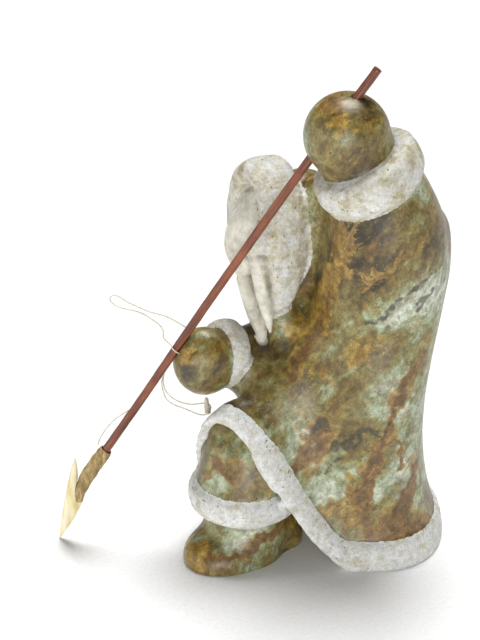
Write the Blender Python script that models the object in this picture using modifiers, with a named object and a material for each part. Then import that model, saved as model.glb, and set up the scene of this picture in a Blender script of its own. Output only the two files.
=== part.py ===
"""A carved soapstone hunter in a hooded parka, who drives a harpoon down with both mittened hands.

The stone figure is one piece. The harpoon has a wooden shaft, an antler foreshaft and a horn head, and a
sinew line ties it to the lower mitten. The figure faces -Y, its left side is +X, and it stands on the XY plane
with the origin under the middle of the parka.
"""

import math

import bmesh
import bpy
import numpy as np
from mathutils import Matrix, Vector

# Driving dimensions, in metres
FIGURE_HEIGHT = 0.291
TRIM_RELIEF = 0.0035
STONE_GRAIN = 0.0022
STONE_TRIANGLES_SHARE = 0.07
SHAFT_DIAMETER = 0.0052
SHAFT_CLEARANCE = 0.00035
SOCKET_DEPTH = 0.009
FORESHAFT_CLEARANCE = 0.00035
LINE_DIAMETER = 0.0009
LINE_CLEARANCE = 0.0004
LINE_POINT_SPACING = 0.0024
LINE_SLACK = 0.00025

# The pose and the carved forms are in 291sts of the figure's height, which at full size are millimetres.
UNIT = FIGURE_HEIGHT / 291

# The harpoon's pose
SHAFT_BUTT = Vector((21.4, -6.1, 305.6))
SHAFT_FOOT = Vector((-36.8, -153.4, 63.7))
SHAFT_BOW = (
    (0, 0),
    (0.14, 0.25),
    (0.36, 1.45),
    (0.49, 1.75),
    (0.66, 1.95),
    (0.8, 1.7),
    (0.96, 0.15),
    (1, 0),
)
HARPOON_POINT = Vector((-48.4, -181.9, 0.2))
FORESHAFT_BEND = ((-41.0, -166.0, 43.0, 4.4), (-42.5, -169.2, 34.3, 3.5), (-42.8, -169.9, 27.7, 2.3))
FORESHAFT_RIM_RADIUS = 3.9
FORESHAFT_WAIST_RADIUS = 4.3

# Distance up from the point, far edge, near edge and half thickness of the harpoon's head
HEAD_SECTIONS = (
    (0, 0.5, -0.3, 0.4),
    (6, 2.6, -1.2, 1.2),
    (18, 6.1, -2.4, 2.2),
    (30, 9.5, -2.2, 2.7),
    (34, 10.4, -0.8, 2.7),
    (38.5, 11.5, 2.5, 2.5),
    (45, 13.1, 7.3, 2.0),
    (49, 13.9, 9.3, 1.6),
    (54, 14.8, 12.2, 1.1),
    (57.5, 15.3, 14.6, 0.4),
)

# Direction from the middle, distance and height of the parka's hem, from its left side round its front
HEM = (
    (-32, 67.3, 0),
    (-42.5, 68, 9),
    (-49.6, 70.4, 18),
    (-55.4, 73.2, 29),
    (-60, 77.2, 41),
    (-64.3, 80.7, 53),
    (-68, 84.4, 64),
    (-72, 87.7, 75),
    (-75.6, 91.2, 84),
    (-79, 94, 89.5),
    (-82, 96.2, 92),
    (-86, 98.7, 92),
    (-89.5, 100.7, 89),
    (-93, 102.7, 82),
    (-97, 103.7, 70),
    (-101, 102.7, 55),
    (-106, 98.7, 38),
    (-112, 90.7, 21),
    (-120, 78.7, 7),
    (-130, 66.7, 0),
)
HEM_PEAK = 92

# Height, centre x, centre y, half width and half depth of the parka
PARKA_SECTIONS = (
    (0, 0, -0.5, 69, 46.5),
    (20, 1, -1.5, 63.5, 44),
    (37, 1, -3, 60, 41),
    (55, 2, -4.5, 58, 39),
    (75, 2, -5.5, 57, 38.5),
    (100, 3, -5, 55.5, 39),
    (125, 3, 0, 53, 38.5),
    (150, 3, 6, 50, 38.5),
    (174, 4, 12, 45, 38),
    (191, 5, 15, 42, 35),
    (205, 8, 15, 36, 32.5),
    (214, 11, 16, 26, 23),
    (220, 13, 15, 12, 10),
)
DRAPE_TOP = 150
TRIM_WIDTH = 17
UNDERCUT = 6
RING_POINTS = 120

# The harpoon line's way: off the foreshaft in a bow, up behind the shaft, round it, out in a loop and back
LINE_BOW = (
    (-39.6, -157.6, 66.4),
    (-39.4, -155.8, 71.4),
    (-38.0, -152.0, 78.0),
    (-36.2, -147.6, 83.6),
    (-34.9, -143.3, 86.9),
)
LINE_RUN = (0.115, 0.15, 0.2, 0.245)
LINE_TIE = 0.28
LINE_LOOP = (
    (-24.6, -119.0, 139.4),
    (-24.0, -119.4, 144.0),
    (-24.2, -121.4, 148.4),
    (-25.6, -125.3, 152.2),
    (-27.5, -130.0, 156.0),
    (-29.7, -134.6, 158.2),
    (-32.7, -141.1, 160.0),
    (-35.0, -145.4, 162.2),
    (-36.4, -147.6, 165.4),
    (-35.2, -146.4, 168.4),
    (-33.4, -143.0, 167.8),
    (-31.6, -138.8, 164.4),
    (-29.4, -133.0, 160.8),
    (-27.2, -125.6, 156.6),
    (-25.6, -117.2, 153.0),
    (-24.9, -111.2, 148.6),
    (-24.4, -107.2, 145.4),
    (-23.9, -103.6, 142.4),
)
# The grip line hangs from the shaft under the mitten, through the tag's knot and back
GRIP_LINE = (
    (-27.1, -116.4, 118.4),
    (-27.9, -117.9, 112.7),
    (-28.5, -119.2, 107.3),
    (-27.7, -118.6, 100.6),
    (-26.3, -116.8, 95.2),
    (-23.9, -112.7, 91.8),
    (-21.6, -107.9, 89.6),
    (-19.6, -103.6, 87.2),
    (-17.9, -99.6, 85.2),
    (-16.6, -96.4, 84.9),
    (-16.0, -93.6, 86.6),
    (-17.6, -92.0, 89.4),
    (-19.6, -94.6, 91.0),
    (-20.6, -98.6, 91.0),
    (-21.6, -102.4, 91.0),
    (-23.4, -106.2, 91.6),
    (-25.6, -110.2, 93.2),
    (-28.0, -113.8, 96.0),
    (-30.2, -116.4, 100.2),
    (-30.9, -117.2, 106.0),
    (-30.3, -116.6, 112.0),
    (-29.0, -115.2, 117.0),
)
TAG = ((-15.9, -95.6, 97.2, 1.3), (-14.7, -95.8, 92.0, 1.8), (-13.5, -95.6, 87.0, 2.3))

# Limbs of the carving, as x, y, z and radius
RAISED_SLEEVE = (
    (6, 0, 110, 34),
    (12, 4, 150, 38),
    (16, 5, 178, 38),
    (18.5, 4, 203, 36),
    (19, 0, 223, 31),
    (18, -6, 240, 26),
)
LOWERED_SLEEVE = (
    (-8, 10, 184, 18),
    (-20, 3, 166, 31),
    (-31, -9, 146, 31),
    (-35.5, -24, 124, 25.5),
    (-34, -44, 111, 20),
    (-24, -76, 117, 16),
)
NECK = ((-28, -42, 206, 18), (-28, -43, 190, 18), (-24, -40, 166, 16))
SHOULDERS = ((16, 6, 200, 31), (0, 3, 192, 31), (-14, 1, 182, 31), (-26, 0, 168, 29), (-32, -4, 150, 26))
NAPE = ((-13, -20, 227, 10), (-12, -20, 204, 17), (-10, -17, 178, 19), (-8, -6, 146, 18))
FAR_CHEEK = (
    (-28, -52, 217, 9),
    (-29, -56, 206, 13),
    (-30.5, -60, 195, 14),
    (-31, -63, 185, 12.5),
    (-30.5, -64.5, 174, 8),
)
NEAR_CHEEK = ((-22, -54, 212, 9), (-21, -58, 202, 12), (-20.5, -61, 193, 12), (-19, -63, 186, 9.5))
NEAR_TUSK = (
    (-15.3, -61.3, 194.4, 7),
    (-10.8, -63.8, 185.9, 5.6),
    (-7.3, -62.8, 166.4, 4.6),
    (-4.8, -60.5, 151.6, 3.6),
    (-3.6, -58.8, 140.2, 1.7),
)
FAR_TUSK = (
    (-31, -65.5, 182, 7),
    (-27.5, -65.3, 167, 4.9),
    (-23, -63.2, 152, 4.6),
    (-19, -60.5, 139, 4.0),
    (-15.5, -58, 127.5, 1.7),
)
TUSK_WEB = ((-25, -54, 184, 9), (-19, -50, 160, 8), (-14, -44, 138, 12), (-8, -36, 118, 20))

# Turns of the forms about the vertical and the other axes, in degrees
MITTEN_TURN = -25
RUFF_TURN = (-2, 8, 4)


def at(x, y, z):
    """A place given in figure units, in metres."""
    return Vector((x, y, z)) * UNIT


def clear_scene():
    for obj in list(bpy.data.objects):
        bpy.data.objects.remove(obj)


def collection(name):
    made = bpy.data.collections.new(name)
    bpy.context.scene.collection.children.link(made)
    return made


def material(name, colour, roughness):
    made = bpy.data.materials.new(name)
    made.use_nodes = True
    shader = made.node_tree.nodes["Principled BSDF"]
    shader.inputs["Base Color"].default_value = (*colour, 1.0)
    shader.inputs["Roughness"].default_value = roughness
    return made


def smooth_path(points, steps):
    """Points along a Catmull-Rom curve through the given ones, steps to each span."""
    p = np.array(points, float)
    p = np.vstack([2 * p[0] - p[1], p, 2 * p[-1] - p[-2]])
    found = []
    for a, b, c, d in zip(p[:-3], p[1:-2], p[2:-1], p[3:]):
        t = (np.arange(steps) / steps)[:, None]
        bend, twist = 2 * a - 5 * b + 4 * c - d, 3 * b - a - 3 * c + d
        found.append(0.5 * (2 * b + (c - a) * t + bend * t**2 + twist * t**3))
    return np.vstack([*found, p[-2]])


def spaced(points, spacing):
    """The same path as points an equal distance apart."""
    along = np.concatenate([[0], np.cumsum(np.linalg.norm(np.diff(points, axis=0), axis=1))])
    places = np.linspace(0, along[-1], max(2, round(along[-1] / spacing) + 1))
    return np.stack([np.interp(places, along, points[:, k]) for k in range(3)], axis=1)


def tube_mesh(name, points, radii, resolution):
    """A closed tube through the points in metres, with its own radius at each."""
    curve = bpy.data.curves.new(name, "CURVE")
    curve.dimensions = "3D"
    curve.bevel_depth = 1.0
    curve.bevel_resolution = resolution
    curve.use_fill_caps = True
    spline = curve.splines.new("POLY")
    spline.points.add(len(points) - 1)
    for made, point, radius in zip(spline.points, points, radii):
        made.co = (*point, 1.0)
        made.radius = radius
    obj = bpy.data.objects.new(name, curve)
    bpy.context.scene.collection.objects.link(obj)
    mesh = bpy.data.meshes.new_from_object(obj.evaluated_get(bpy.context.evaluated_depsgraph_get()))
    bpy.data.objects.remove(obj)
    bpy.data.curves.remove(curve)
    tube = bmesh.new()
    tube.from_mesh(mesh)
    bmesh.ops.remove_doubles(tube, verts=tube.verts, dist=1e-6)
    tube.to_mesh(mesh)
    tube.free()
    mesh.name = name
    return mesh


def add_limb(forms, joints):
    """A limb through joints given as (x, y, z, radius) in figure units."""
    path = smooth_path(joints, 6) * UNIT
    mesh = tube_mesh("limb", path[:, :3], path[:, 3], 10)
    forms.from_mesh(mesh)
    bpy.data.meshes.remove(mesh)


def turned(pitch, roll, yaw):
    """A rotation that nods the front down, raises the left side, then turns to the left, in degrees."""
    nod = Matrix.Rotation(math.radians(pitch), 3, "X")
    tilt = Matrix.Rotation(-math.radians(roll), 3, "Y")
    return Matrix.Rotation(math.radians(yaw), 3, "Z") @ nod @ tilt


def add_ball(forms, centre, radii, turn=None):
    """An egg shape with its own radius along each axis, in figure units, turned by a rotation."""
    turn = turn or Matrix.Identity(3)
    place = Matrix.Translation(at(*centre)) @ turn.to_4x4() @ Matrix.Diagonal((*at(*radii), 1.0))
    bmesh.ops.create_uvsphere(forms, u_segments=32, v_segments=20, radius=1.0, matrix=place)


def add_ring(forms, centre, turn, radii, thickness, height, low_share=1.0):
    """A fur band: an oval ring about the turned Z axis, rounded square in section, lower at its -Y end."""
    bpy.ops.mesh.primitive_torus_add(major_segments=64, minor_segments=20, major_radius=1, minor_radius=0.5)
    torus = bpy.context.active_object
    spots = np.array([vertex.co for vertex in torus.data.vertices])
    around = np.arctan2(spots[:, 1], spots[:, 0])
    section = np.stack([np.hypot(spots[:, 0], spots[:, 1]) - 1, spots[:, 2]], axis=1) * 2
    section = np.sign(section) * np.abs(section) ** 0.75 * (thickness / 2, height / 2)
    narrowing = low_share + (1 - low_share) * np.clip(1.15 + 1.15 * np.sin(around), 0, 1)
    section[:, 1] *= narrowing
    ring = np.stack([np.cos(around) * radii[0], np.sin(around) * radii[1], np.zeros(len(spots))], axis=1)
    outward = np.stack([np.cos(around) * radii[1], np.sin(around) * radii[0]], axis=1)
    outward /= np.linalg.norm(outward, axis=1)[:, None]
    ring[:, :2] += outward * section[:, :1]
    ring[:, 2] = section[:, 1]
    ring = ring @ np.array(turn).T + centre
    torus.data.vertices.foreach_set("co", (ring * UNIT).ravel())
    forms.from_mesh(torus.data)
    bpy.data.objects.remove(torus)


def facing(axis):
    """A rotation that turns Z to the axis."""
    return Vector(axis).to_track_quat("Z", "Y").to_matrix()


def add_loft(forms, rings):
    """A closed form through a stack of rings with as many points each, from the bottom ring up."""
    rows = [[forms.verts.new(point) for point in ring] for ring in rings]
    for low, high in zip(rows[:-1], rows[1:]):
        for i in range(len(low)):
            j = (i + 1) % len(low)
            forms.faces.new((low[i], low[j], high[j], high[i]))
    forms.faces.new(rows[0][::-1])
    forms.faces.new(rows[-1])


def hem_point(degrees):
    """The hem's place and height in one direction from the middle."""
    _, _, _, half_width, half_depth = PARKA_SECTIONS[0]
    angle = math.radians(degrees)
    plain = 1 / math.hypot(math.cos(angle) / half_width, math.sin(angle) / half_depth)
    directions = np.array([row[0] for row in HEM])[::-1]
    if not directions[0] < degrees < directions[-1]:
        away = min(abs(degrees - directions[0]), abs(degrees - directions[-1]))
        nearest = 0 if abs(degrees - directions[-1]) < abs(degrees - directions[0]) else -1
        edge = math.radians(HEM[nearest][0])
        edge_plain = 1 / math.hypot(math.cos(edge) / half_width, math.sin(edge) / half_depth)
        reach = plain + (HEM[nearest][1] - edge_plain) * max(0, 1 - away / 30) ** 2
        return np.array([math.cos(angle), math.sin(angle)]) * reach, 0.0
    reach = np.interp(degrees, directions, [row[1] for row in HEM][::-1])
    height = np.interp(degrees, directions, [row[2] for row in HEM][::-1])
    return np.array([math.cos(angle), math.sin(angle)]) * reach, float(height)


def parka_side(degrees, height):
    """The plain parka's surface in one direction at a height."""
    table = np.array(PARKA_SECTIONS, float)
    x, y, half_width, half_depth = (np.interp(height, table[:, 0], table[:, k]) for k in range(1, 5))
    angle = math.radians(degrees)
    reach = 1 / math.hypot(math.cos(angle) / half_width, math.sin(angle) / half_depth)
    return np.array([x + reach * math.cos(angle), y + reach * math.sin(angle)])


def parka_column(degrees):
    """The parka's outline in one direction from under the hem up, in figure units."""
    hem, hem_height = hem_point(degrees)
    outward = hem / np.linalg.norm(hem)
    pushed = hem - parka_side(degrees, hem_height)
    relief = TRIM_RELIEF / UNIT
    trim = TRIM_WIDTH - 4 * hem_height / HEM_PEAK
    low = hem_height if hem_height > 0 else -UNDERCUT

    def side(height, proud=0.0):
        drape = max(0, 1 - (height - hem_height) / (DRAPE_TOP - hem_height)) ** 1.6
        lift = proud * hem_height / HEM_PEAK
        return (*(parka_side(degrees, height) + pushed * drape + outward * proud), height + lift)

    points = [(*(hem * 0.42), -UNDERCUT), (*(hem * 0.5), hem_height * 0.6 - UNDERCUT)]
    points.append((*(hem - outward * 9), low))
    points.append((*(hem + outward * relief * 0.3), low))
    points.append(side(hem_height + 1.5, relief))
    points.append(side(hem_height + trim * 0.5, relief * 1.15))
    points.append(side(hem_height + trim - 1, relief))
    points.append(side(hem_height + trim + 0.5))
    for share in np.linspace(0, 1, 16)[1:]:
        points.append(side(hem_height + trim + 0.5 + (DRAPE_TOP - hem_height - trim - 0.5) * share))
    for section in PARKA_SECTIONS:
        if section[0] > DRAPE_TOP:
            points.append(side(section[0]))
    return points


def add_parka(forms):
    columns = [parka_column(360 * i / RING_POINTS - 180) for i in range(RING_POINTS)]
    rings = [[at(*column[row]) for column in columns] for row in range(len(columns[0]))]
    add_loft(forms, rings)


def add_raised_arm(forms):
    add_limb(forms, RAISED_SLEEVE)
    cuff = facing((-0.16, -0.36, 0.92))
    add_ring(forms, (18.2, -8.2, 241.8), cuff, (25.5, 25.5), 13.5, 22)
    add_limb(forms, [(18, -7, 236, 24), (16, -13, 250, 23), (14, -18, 262, 22)])
    add_ball(forms, (12.8, -19.8, 265.2), (25.5, 25.5, 25.8))


def add_lowered_arm(forms):
    add_limb(forms, LOWERED_SLEEVE)
    add_limb(forms, [(-19, -76, 112, 13), (-13, -62, 106, 20), (-4, -45, 98, 30)])
    add_ring(forms, (-23, -78.5, 119.5), facing((0.2, -0.96, 0.22)), (16.5, 18), 10, 16)
    add_ball(forms, (-18.2, -95.8, 121.4), (17, 19.5, 22.5), turned(0, 0, MITTEN_TURN))
    add_ball(forms, (-12, -106, 126), (8, 8, 9))


def add_head(forms):
    ruff = turned(*RUFF_TURN) @ Matrix.Rotation(math.radians(90), 3, "X")
    add_ring(forms, (-27, -50.5, 190), ruff, (22, 43), 14, 28, 0.4)
    add_ball(forms, (-27, -27, 187), (23, 31, 42), turned(*RUFF_TURN))
    for limb in (NECK, NAPE, SHOULDERS, FAR_CHEEK, NEAR_CHEEK, NEAR_TUSK, FAR_TUSK, TUSK_WEB):
        add_limb(forms, limb)


def add_leg(forms):
    add_ball(forms, (1, -74, 58), (29.5, 30, 31))
    add_limb(forms, [(2, -76, 60, 27), (3, -77.5, 50, 30), (3, -78, 36, 30.5)])
    add_ring(forms, (3, -78.5, 38), facing((0, 0, 1)), (28.5, 29), 12, 17)
    add_limb(forms, [(4, -78, 44, 26), (7, -80, 25, 25), (9, -84, -4, 26)])
    add_ball(forms, (10, -90, 3), (25.5, 34, 18), turned(0, 0, 10))
    add_limb(forms, [(8, -70, 8, 18), (10, -50, 8, 16)])


def stone_mesh():
    """Every form of the carving, as overlapping closed shapes in one mesh."""
    forms = bmesh.new()
    for add in (add_parka, add_raised_arm, add_lowered_arm, add_head, add_leg):
        add(forms)
    mesh = bpy.data.meshes.new("stone_figure")
    forms.to_mesh(mesh)
    forms.free()
    return mesh


def shaft_axis():
    """The shaft's axis from its foot to its butt, and the direction its bow takes."""
    axis = (SHAFT_BUTT - SHAFT_FOOT).normalized()
    upward = (Vector((0, 0, 1)) - axis * axis.z).normalized()
    return axis, upward


def shaft_place(share):
    """A place on the bowed shaft, at a share of its length from foot to butt, in figure units."""
    axis, upward = shaft_axis()
    shares, bows = zip(*SHAFT_BOW)
    return SHAFT_FOOT.lerp(SHAFT_BUTT, share) + upward * float(np.interp(share, shares, bows))


def shaft_path(extra):
    """The shaft's centre line in metres, with its foot set into the socket and some extra at both ends."""
    axis, _ = shaft_axis()
    foot = SHAFT_FOOT * UNIT - axis * (SOCKET_DEPTH + extra)
    shares = [share for share, _ in SHAFT_BOW]
    knots = [np.array(shaft_place(share)) for share in shares]
    middle = smooth_path(knots, 3) * UNIT
    return np.vstack([foot, middle, np.array(SHAFT_BUTT * UNIT + axis * max(extra, 0.0001))])


def foreshaft_path(extra, end_extra):
    """The foreshaft's centre line and radii in metres, from its rim to its end in the head."""
    axis, _ = shaft_axis()
    waist = SHAFT_FOOT - axis * 11
    joints = [(*SHAFT_FOOT, FORESHAFT_RIM_RADIUS), (*waist, FORESHAFT_WAIST_RADIUS), *FORESHAFT_BEND]
    path = smooth_path(joints, 4) * UNIT
    end = Vector(path[-1, :3] - path[-2, :3]).normalized() * end_extra
    path[-1, :3] += np.array(end)
    return path[:, :3], path[:, 3] + extra


def head_mesh():
    """The harpoon's head: a blade that runs from its point up into a barb, with lens-shaped sections."""
    upward = (SHAFT_FOOT - HARPOON_POINT).normalized()
    across = (Vector((0, 0, 1)) - upward * upward.z).normalized()
    flat = upward.cross(across)
    forms = bmesh.new()
    rings = []
    for along, far, near, half_thickness in HEAD_SECTIONS:
        middle, half_width = (far + near) / 2, (far - near) / 2
        ring = []
        for i in range(12):
            angle = 2 * math.pi * i / 12
            side = math.copysign(abs(math.cos(angle)) ** 0.9, math.cos(angle)) * half_width
            place = HARPOON_POINT + upward * along + across * (middle + side)
            ring.append((place + flat * math.sin(angle) * half_thickness) * UNIT)
        rings.append(ring)
    add_loft(forms, rings)
    bmesh.ops.recalc_face_normals(forms, faces=forms.faces)
    mesh = bpy.data.meshes.new("harpoon_head")
    forms.to_mesh(mesh)
    forms.free()
    return mesh


def round_shaft(share, degrees):
    """A place beside the shaft where the line touches it, from the upward side (0) round to the left (90)."""
    axis, upward = shaft_axis()
    sideways = axis.cross(upward)
    reach = (SHAFT_DIAMETER / 2 + LINE_CLEARANCE + LINE_SLACK + LINE_DIAMETER / 2) / UNIT
    turn = math.radians(degrees)
    return shaft_place(share) + (upward * math.cos(turn) + sideways * math.sin(turn)) * reach


def line_path():
    """The harpoon line's centre line in metres."""
    run = [round_shaft(share, -90) for share in LINE_RUN]
    tie = [round_shaft(LINE_TIE + 0.005 * (i / 8 - 0.5), -90 - 270 * i / 8) for i in range(9)]
    points = [tuple(point) for point in (*LINE_BOW, *run, *tie, *LINE_LOOP)]
    return spaced(smooth_path(points, 8) * UNIT, LINE_POINT_SPACING)


def put(mesh, name, colour, roughness, home):
    obj = bpy.data.objects.new(name, mesh)
    home.objects.link(obj)
    mesh.name = name
    mesh.materials.append(material(name, colour, roughness))
    return obj


def cut(obj, cutter):
    modifier = obj.modifiers.new(cutter.name, "BOOLEAN")
    modifier.operation = "DIFFERENCE"
    modifier.solver = "EXACT"
    modifier.object = cutter


def put_cutter(mesh, name, home):
    obj = bpy.data.objects.new(name, mesh)
    home.objects.link(obj)
    obj.hide_render = True
    obj.display_type = "WIRE"
    return obj


def ground_mesh():
    """A slab under the floor, which leaves the carving a flat underside."""
    forms = bmesh.new()
    slab = Matrix.Translation((0, 0, -0.05)) @ Matrix.Diagonal((0.6, 0.6, 0.1, 1))
    bmesh.ops.create_cube(forms, size=1.0, matrix=slab)
    mesh = bpy.data.meshes.new("ground")
    forms.to_mesh(mesh)
    forms.free()
    return mesh


def main():
    clear_scene()
    parts, cutters = collection("soapstone hunter"), collection("cutters")

    figure = put(stone_mesh(), "stone_figure", (0.42, 0.38, 0.24), 0.35, parts)
    carve = figure.modifiers.new("carve", "REMESH")
    carve.mode = "VOXEL"
    carve.voxel_size = STONE_GRAIN
    rub = figure.modifiers.new("rub", "SMOOTH")
    rub.factor = 0.5
    rub.iterations = 2
    thin = figure.modifiers.new("thin", "DECIMATE")
    thin.ratio = STONE_TRIANGLES_SHARE
    cut(figure, put_cutter(ground_mesh(), "ground", cutters))
    bore_radius = SHAFT_DIAMETER / 2 + SHAFT_CLEARANCE
    bore_path = shaft_path(SHAFT_CLEARANCE)
    bore_mesh = tube_mesh("shaft_bore", bore_path, [bore_radius] * len(bore_path), 3)
    bore = put_cutter(bore_mesh, "shaft_bore", cutters)
    cut(figure, bore)

    radius = LINE_DIAMETER / 2
    grip = spaced(smooth_path(GRIP_LINE, 8) * UNIT, LINE_POINT_SPACING)
    lines = {"harpoon_line": line_path(), "grip_line": grip}
    for name, path in lines.items():
        groove = tube_mesh(name + "_groove", path, [radius + LINE_CLEARANCE] * len(path), 2)
        cut(figure, put_cutter(groove, name + "_groove", cutters))
        put(tube_mesh(name, path, [radius] * len(path), 2), name, (0.8, 0.76, 0.66), 0.8, parts)
    tag = smooth_path(TAG, 3) * UNIT
    put(tube_mesh("line_knot", tag[:, :3], tag[:, 3], 3), "line_knot", (0.7, 0.68, 0.55), 0.8, parts)

    path = shaft_path(0)
    shaft = tube_mesh("harpoon_shaft", path, [SHAFT_DIAMETER / 2] * len(path), 3)
    put(shaft, "harpoon_shaft", (0.3, 0.09, 0.05), 0.4, parts)
    foreshaft_mesh = tube_mesh("foreshaft", *foreshaft_path(0, 0), 4)
    foreshaft = put(foreshaft_mesh, "foreshaft", (0.35, 0.27, 0.17), 0.7, parts)
    cut(foreshaft, bore)
    head = put(head_mesh(), "harpoon_head", (0.8, 0.7, 0.45), 0.4, parts)
    pocket = foreshaft_path(FORESHAFT_CLEARANCE, FORESHAFT_CLEARANCE)
    cut(head, put_cutter(tube_mesh("head_pocket", *pocket, 4), "head_pocket", cutters))


main()
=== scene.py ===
"""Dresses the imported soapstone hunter: a waxed, veined stone with chalky trims, a harpoon and its lines."""

import logging
import math
from dataclasses import dataclass, field
from enum import Enum
from typing import Any

import bpy
import numpy as np
from mathutils import Matrix, Vector


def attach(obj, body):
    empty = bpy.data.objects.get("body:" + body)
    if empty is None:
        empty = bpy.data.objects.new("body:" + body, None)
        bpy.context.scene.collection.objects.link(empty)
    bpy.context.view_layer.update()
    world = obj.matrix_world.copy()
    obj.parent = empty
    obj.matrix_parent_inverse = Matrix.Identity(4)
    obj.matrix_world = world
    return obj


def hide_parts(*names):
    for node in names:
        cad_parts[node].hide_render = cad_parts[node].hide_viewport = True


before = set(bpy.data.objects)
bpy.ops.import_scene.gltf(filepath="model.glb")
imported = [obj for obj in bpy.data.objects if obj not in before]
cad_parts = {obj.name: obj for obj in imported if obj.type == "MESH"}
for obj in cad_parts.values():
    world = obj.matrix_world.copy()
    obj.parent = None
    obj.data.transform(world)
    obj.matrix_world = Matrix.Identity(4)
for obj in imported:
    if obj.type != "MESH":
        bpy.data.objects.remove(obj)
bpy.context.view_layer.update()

log = logging.getLogger("hunter")

Array = np.ndarray
Joints = tuple[tuple[float, ...], ...]
Triple = tuple[float, float, float]
Shell = tuple[Array, list[list[int]]]
Socket = bpy.types.NodeSocket
Fields = dict[str, Socket]
Stops = tuple[tuple[float, str], ...]
Inputs = dict[int | str, Any] | tuple
MM = 0.001
BODY = "root"
FULL_TURN = 2 * math.pi
UP = Vector((0, 0, 1))

# Settings that nodes share: a smooth step, two ways to mix colours, and three sums on numbers
STEP = {"interpolation_type": "SMOOTHSTEP"}
COVER = {"data_type": "RGBA"}
DARKEN = {"data_type": "RGBA", "blend_type": "MULTIPLY"}
SCALED = {"operation": "MULTIPLY_ADD"}
TIMES = {"operation": "MULTIPLY"}
LESS = {"operation": "SUBTRACT"}


# Helpers for numbers, meshes and nodes


def linear(hex_colour: str) -> tuple[float, float, float, float]:
    """Turns an sRGB hex colour to linear light.

    Args:
        hex_colour: six hex digits after a hash.

    Returns:
        The linear colour with an alpha of one.
    """
    parts = [int(hex_colour[i : i + 2], 16) / 255 for i in (1, 3, 5)]
    lit = [c / 12.92 if c <= 0.04045 else ((c + 0.055) / 1.055) ** 2.4 for c in parts]
    return (*lit, 1.0)


def all_round(count: int) -> Array:
    """Evenly spaced angles, all the way round."""
    return np.linspace(0, FULL_TURN, count, endpoint=False)


def heading(degrees: Array) -> Array:
    """The unit direction at each angle in plan, as x and y."""
    return np.stack([np.cos(np.radians(degrees)), np.sin(np.radians(degrees))], axis=-1)


def shaped(wave: Array, power: float) -> Array:
    """A sine or cosine with its size raised to a power and its sign kept."""
    return np.sign(wave) * np.abs(wave) ** power


def unit(way: Array) -> Array:
    """The direction with a length of one."""
    return way / np.linalg.norm(way)


def smooth_path(points: Joints | Array, steps: int) -> Array:
    """Points along a Catmull-Rom curve: each span is the cubic through its ends with its neighbours' slopes.

    Args:
        points: the places, and any other numbers, that the curve passes through.
        steps: how many points each span is cut into.

    Returns:
        One row a point, from the first given point to the last.
    """
    p = np.array(points, float)
    p = np.vstack([2 * p[0] - p[1], p, 2 * p[-1] - p[-2]])
    a, b, c, d = (part[:, None, :] for part in (p[:-3], p[1:-2], p[2:-1], p[3:]))
    t = (np.arange(steps) / steps)[None, :, None]
    bend, twist = 2 * a - 5 * b + 4 * c - d, 3 * b - a - 3 * c + d
    curve = 0.5 * (2 * b + (c - a) * t + bend * t**2 + twist * t**3)
    return np.vstack([curve.reshape(-1, p.shape[1]), p[-2]])


def spaced(points: Array, spacing: float) -> Array:
    """The same path as points an equal distance apart.

    Args:
        points: the path, with x, y and z in its first three columns.
        spacing: about how far apart the new points lie.

    Returns:
        The new points, with every column read off at the same distance along.
    """
    along = np.concatenate([[0], np.cumsum(np.linalg.norm(np.diff(points[:, :3], axis=0), axis=1))])
    places = np.linspace(0, along[-1], max(2, round(along[-1] / spacing) + 1))
    return np.stack([np.interp(places, along, points[:, k]) for k in range(points.shape[1])], axis=1)


def path_length(points: Array) -> float:
    """The length of a path through its points."""
    return float(np.linalg.norm(np.diff(points, axis=0), axis=1).sum())


def ripple(points: Array, wavelength: float, seed: int, waves: int = 20) -> Array:
    """Smooth random relief: the sum of plane waves with random directions, each about one wavelength long.

    Args:
        points: one place a row.
        wavelength: the usual distance from crest to crest, in the points' unit.
        seed: fixes the waves.
        waves: how many are added.

    Returns:
        One number a point, mostly from -2 to 2.
    """
    draw = np.random.default_rng(seed)
    ways = draw.normal(size=(waves, 3))
    ways /= np.linalg.norm(ways, axis=1)[:, None]
    lengths = wavelength * draw.uniform(0.7, 1.4, waves)
    phases = draw.uniform(0, FULL_TURN, waves)
    crests = np.sin(points @ (ways * (FULL_TURN / lengths)[:, None]).T + phases)
    return crests.sum(axis=1) / math.sqrt(waves / 2)


def ease(values: Array, low: float, high: float) -> Array:
    """Turns values to 0 at low and 1 at high, with a smooth step between."""
    t = np.clip((values - low) / (high - low), 0, 1)
    return t * t * (3 - 2 * t)


def turned(pitch: float, roll: float, yaw: float) -> Array:
    """A rotation that nods the front down, raises the left side, then turns to the left.

    Args:
        pitch: the nod, in degrees.
        roll: how far the left side goes up, in degrees.
        yaw: the turn to the left, in degrees.

    Returns:
        The rotation as three rows.
    """
    nod = Matrix.Rotation(math.radians(pitch), 3, "X")
    tilt = Matrix.Rotation(-math.radians(roll), 3, "Y")
    return np.array(Matrix.Rotation(math.radians(yaw), 3, "Z") @ nod @ tilt)


def facing(axis: Triple) -> Array:
    """A rotation that turns Z to the axis."""
    return np.array(Vector(axis).to_track_quat("Z", "Y").to_matrix())


def frames_along(path: Array) -> tuple[Array, Array]:
    """Two directions across a path at each point, carried along it without twist.

    Args:
        path: the points, one a row.

    Returns:
        The first and the second unit direction across the path, one a row each.
    """
    ahead = np.gradient(path, axis=0)
    ahead /= np.linalg.norm(ahead, axis=1)[:, None]
    first = np.zeros_like(path)
    carried = np.cross(ahead[0], (0.3, 0.2, 0.93))
    for i, way in enumerate(ahead):
        carried = unit(carried - way * (carried @ way))
        first[i] = carried
    return first, np.cross(ahead, first)


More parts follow.
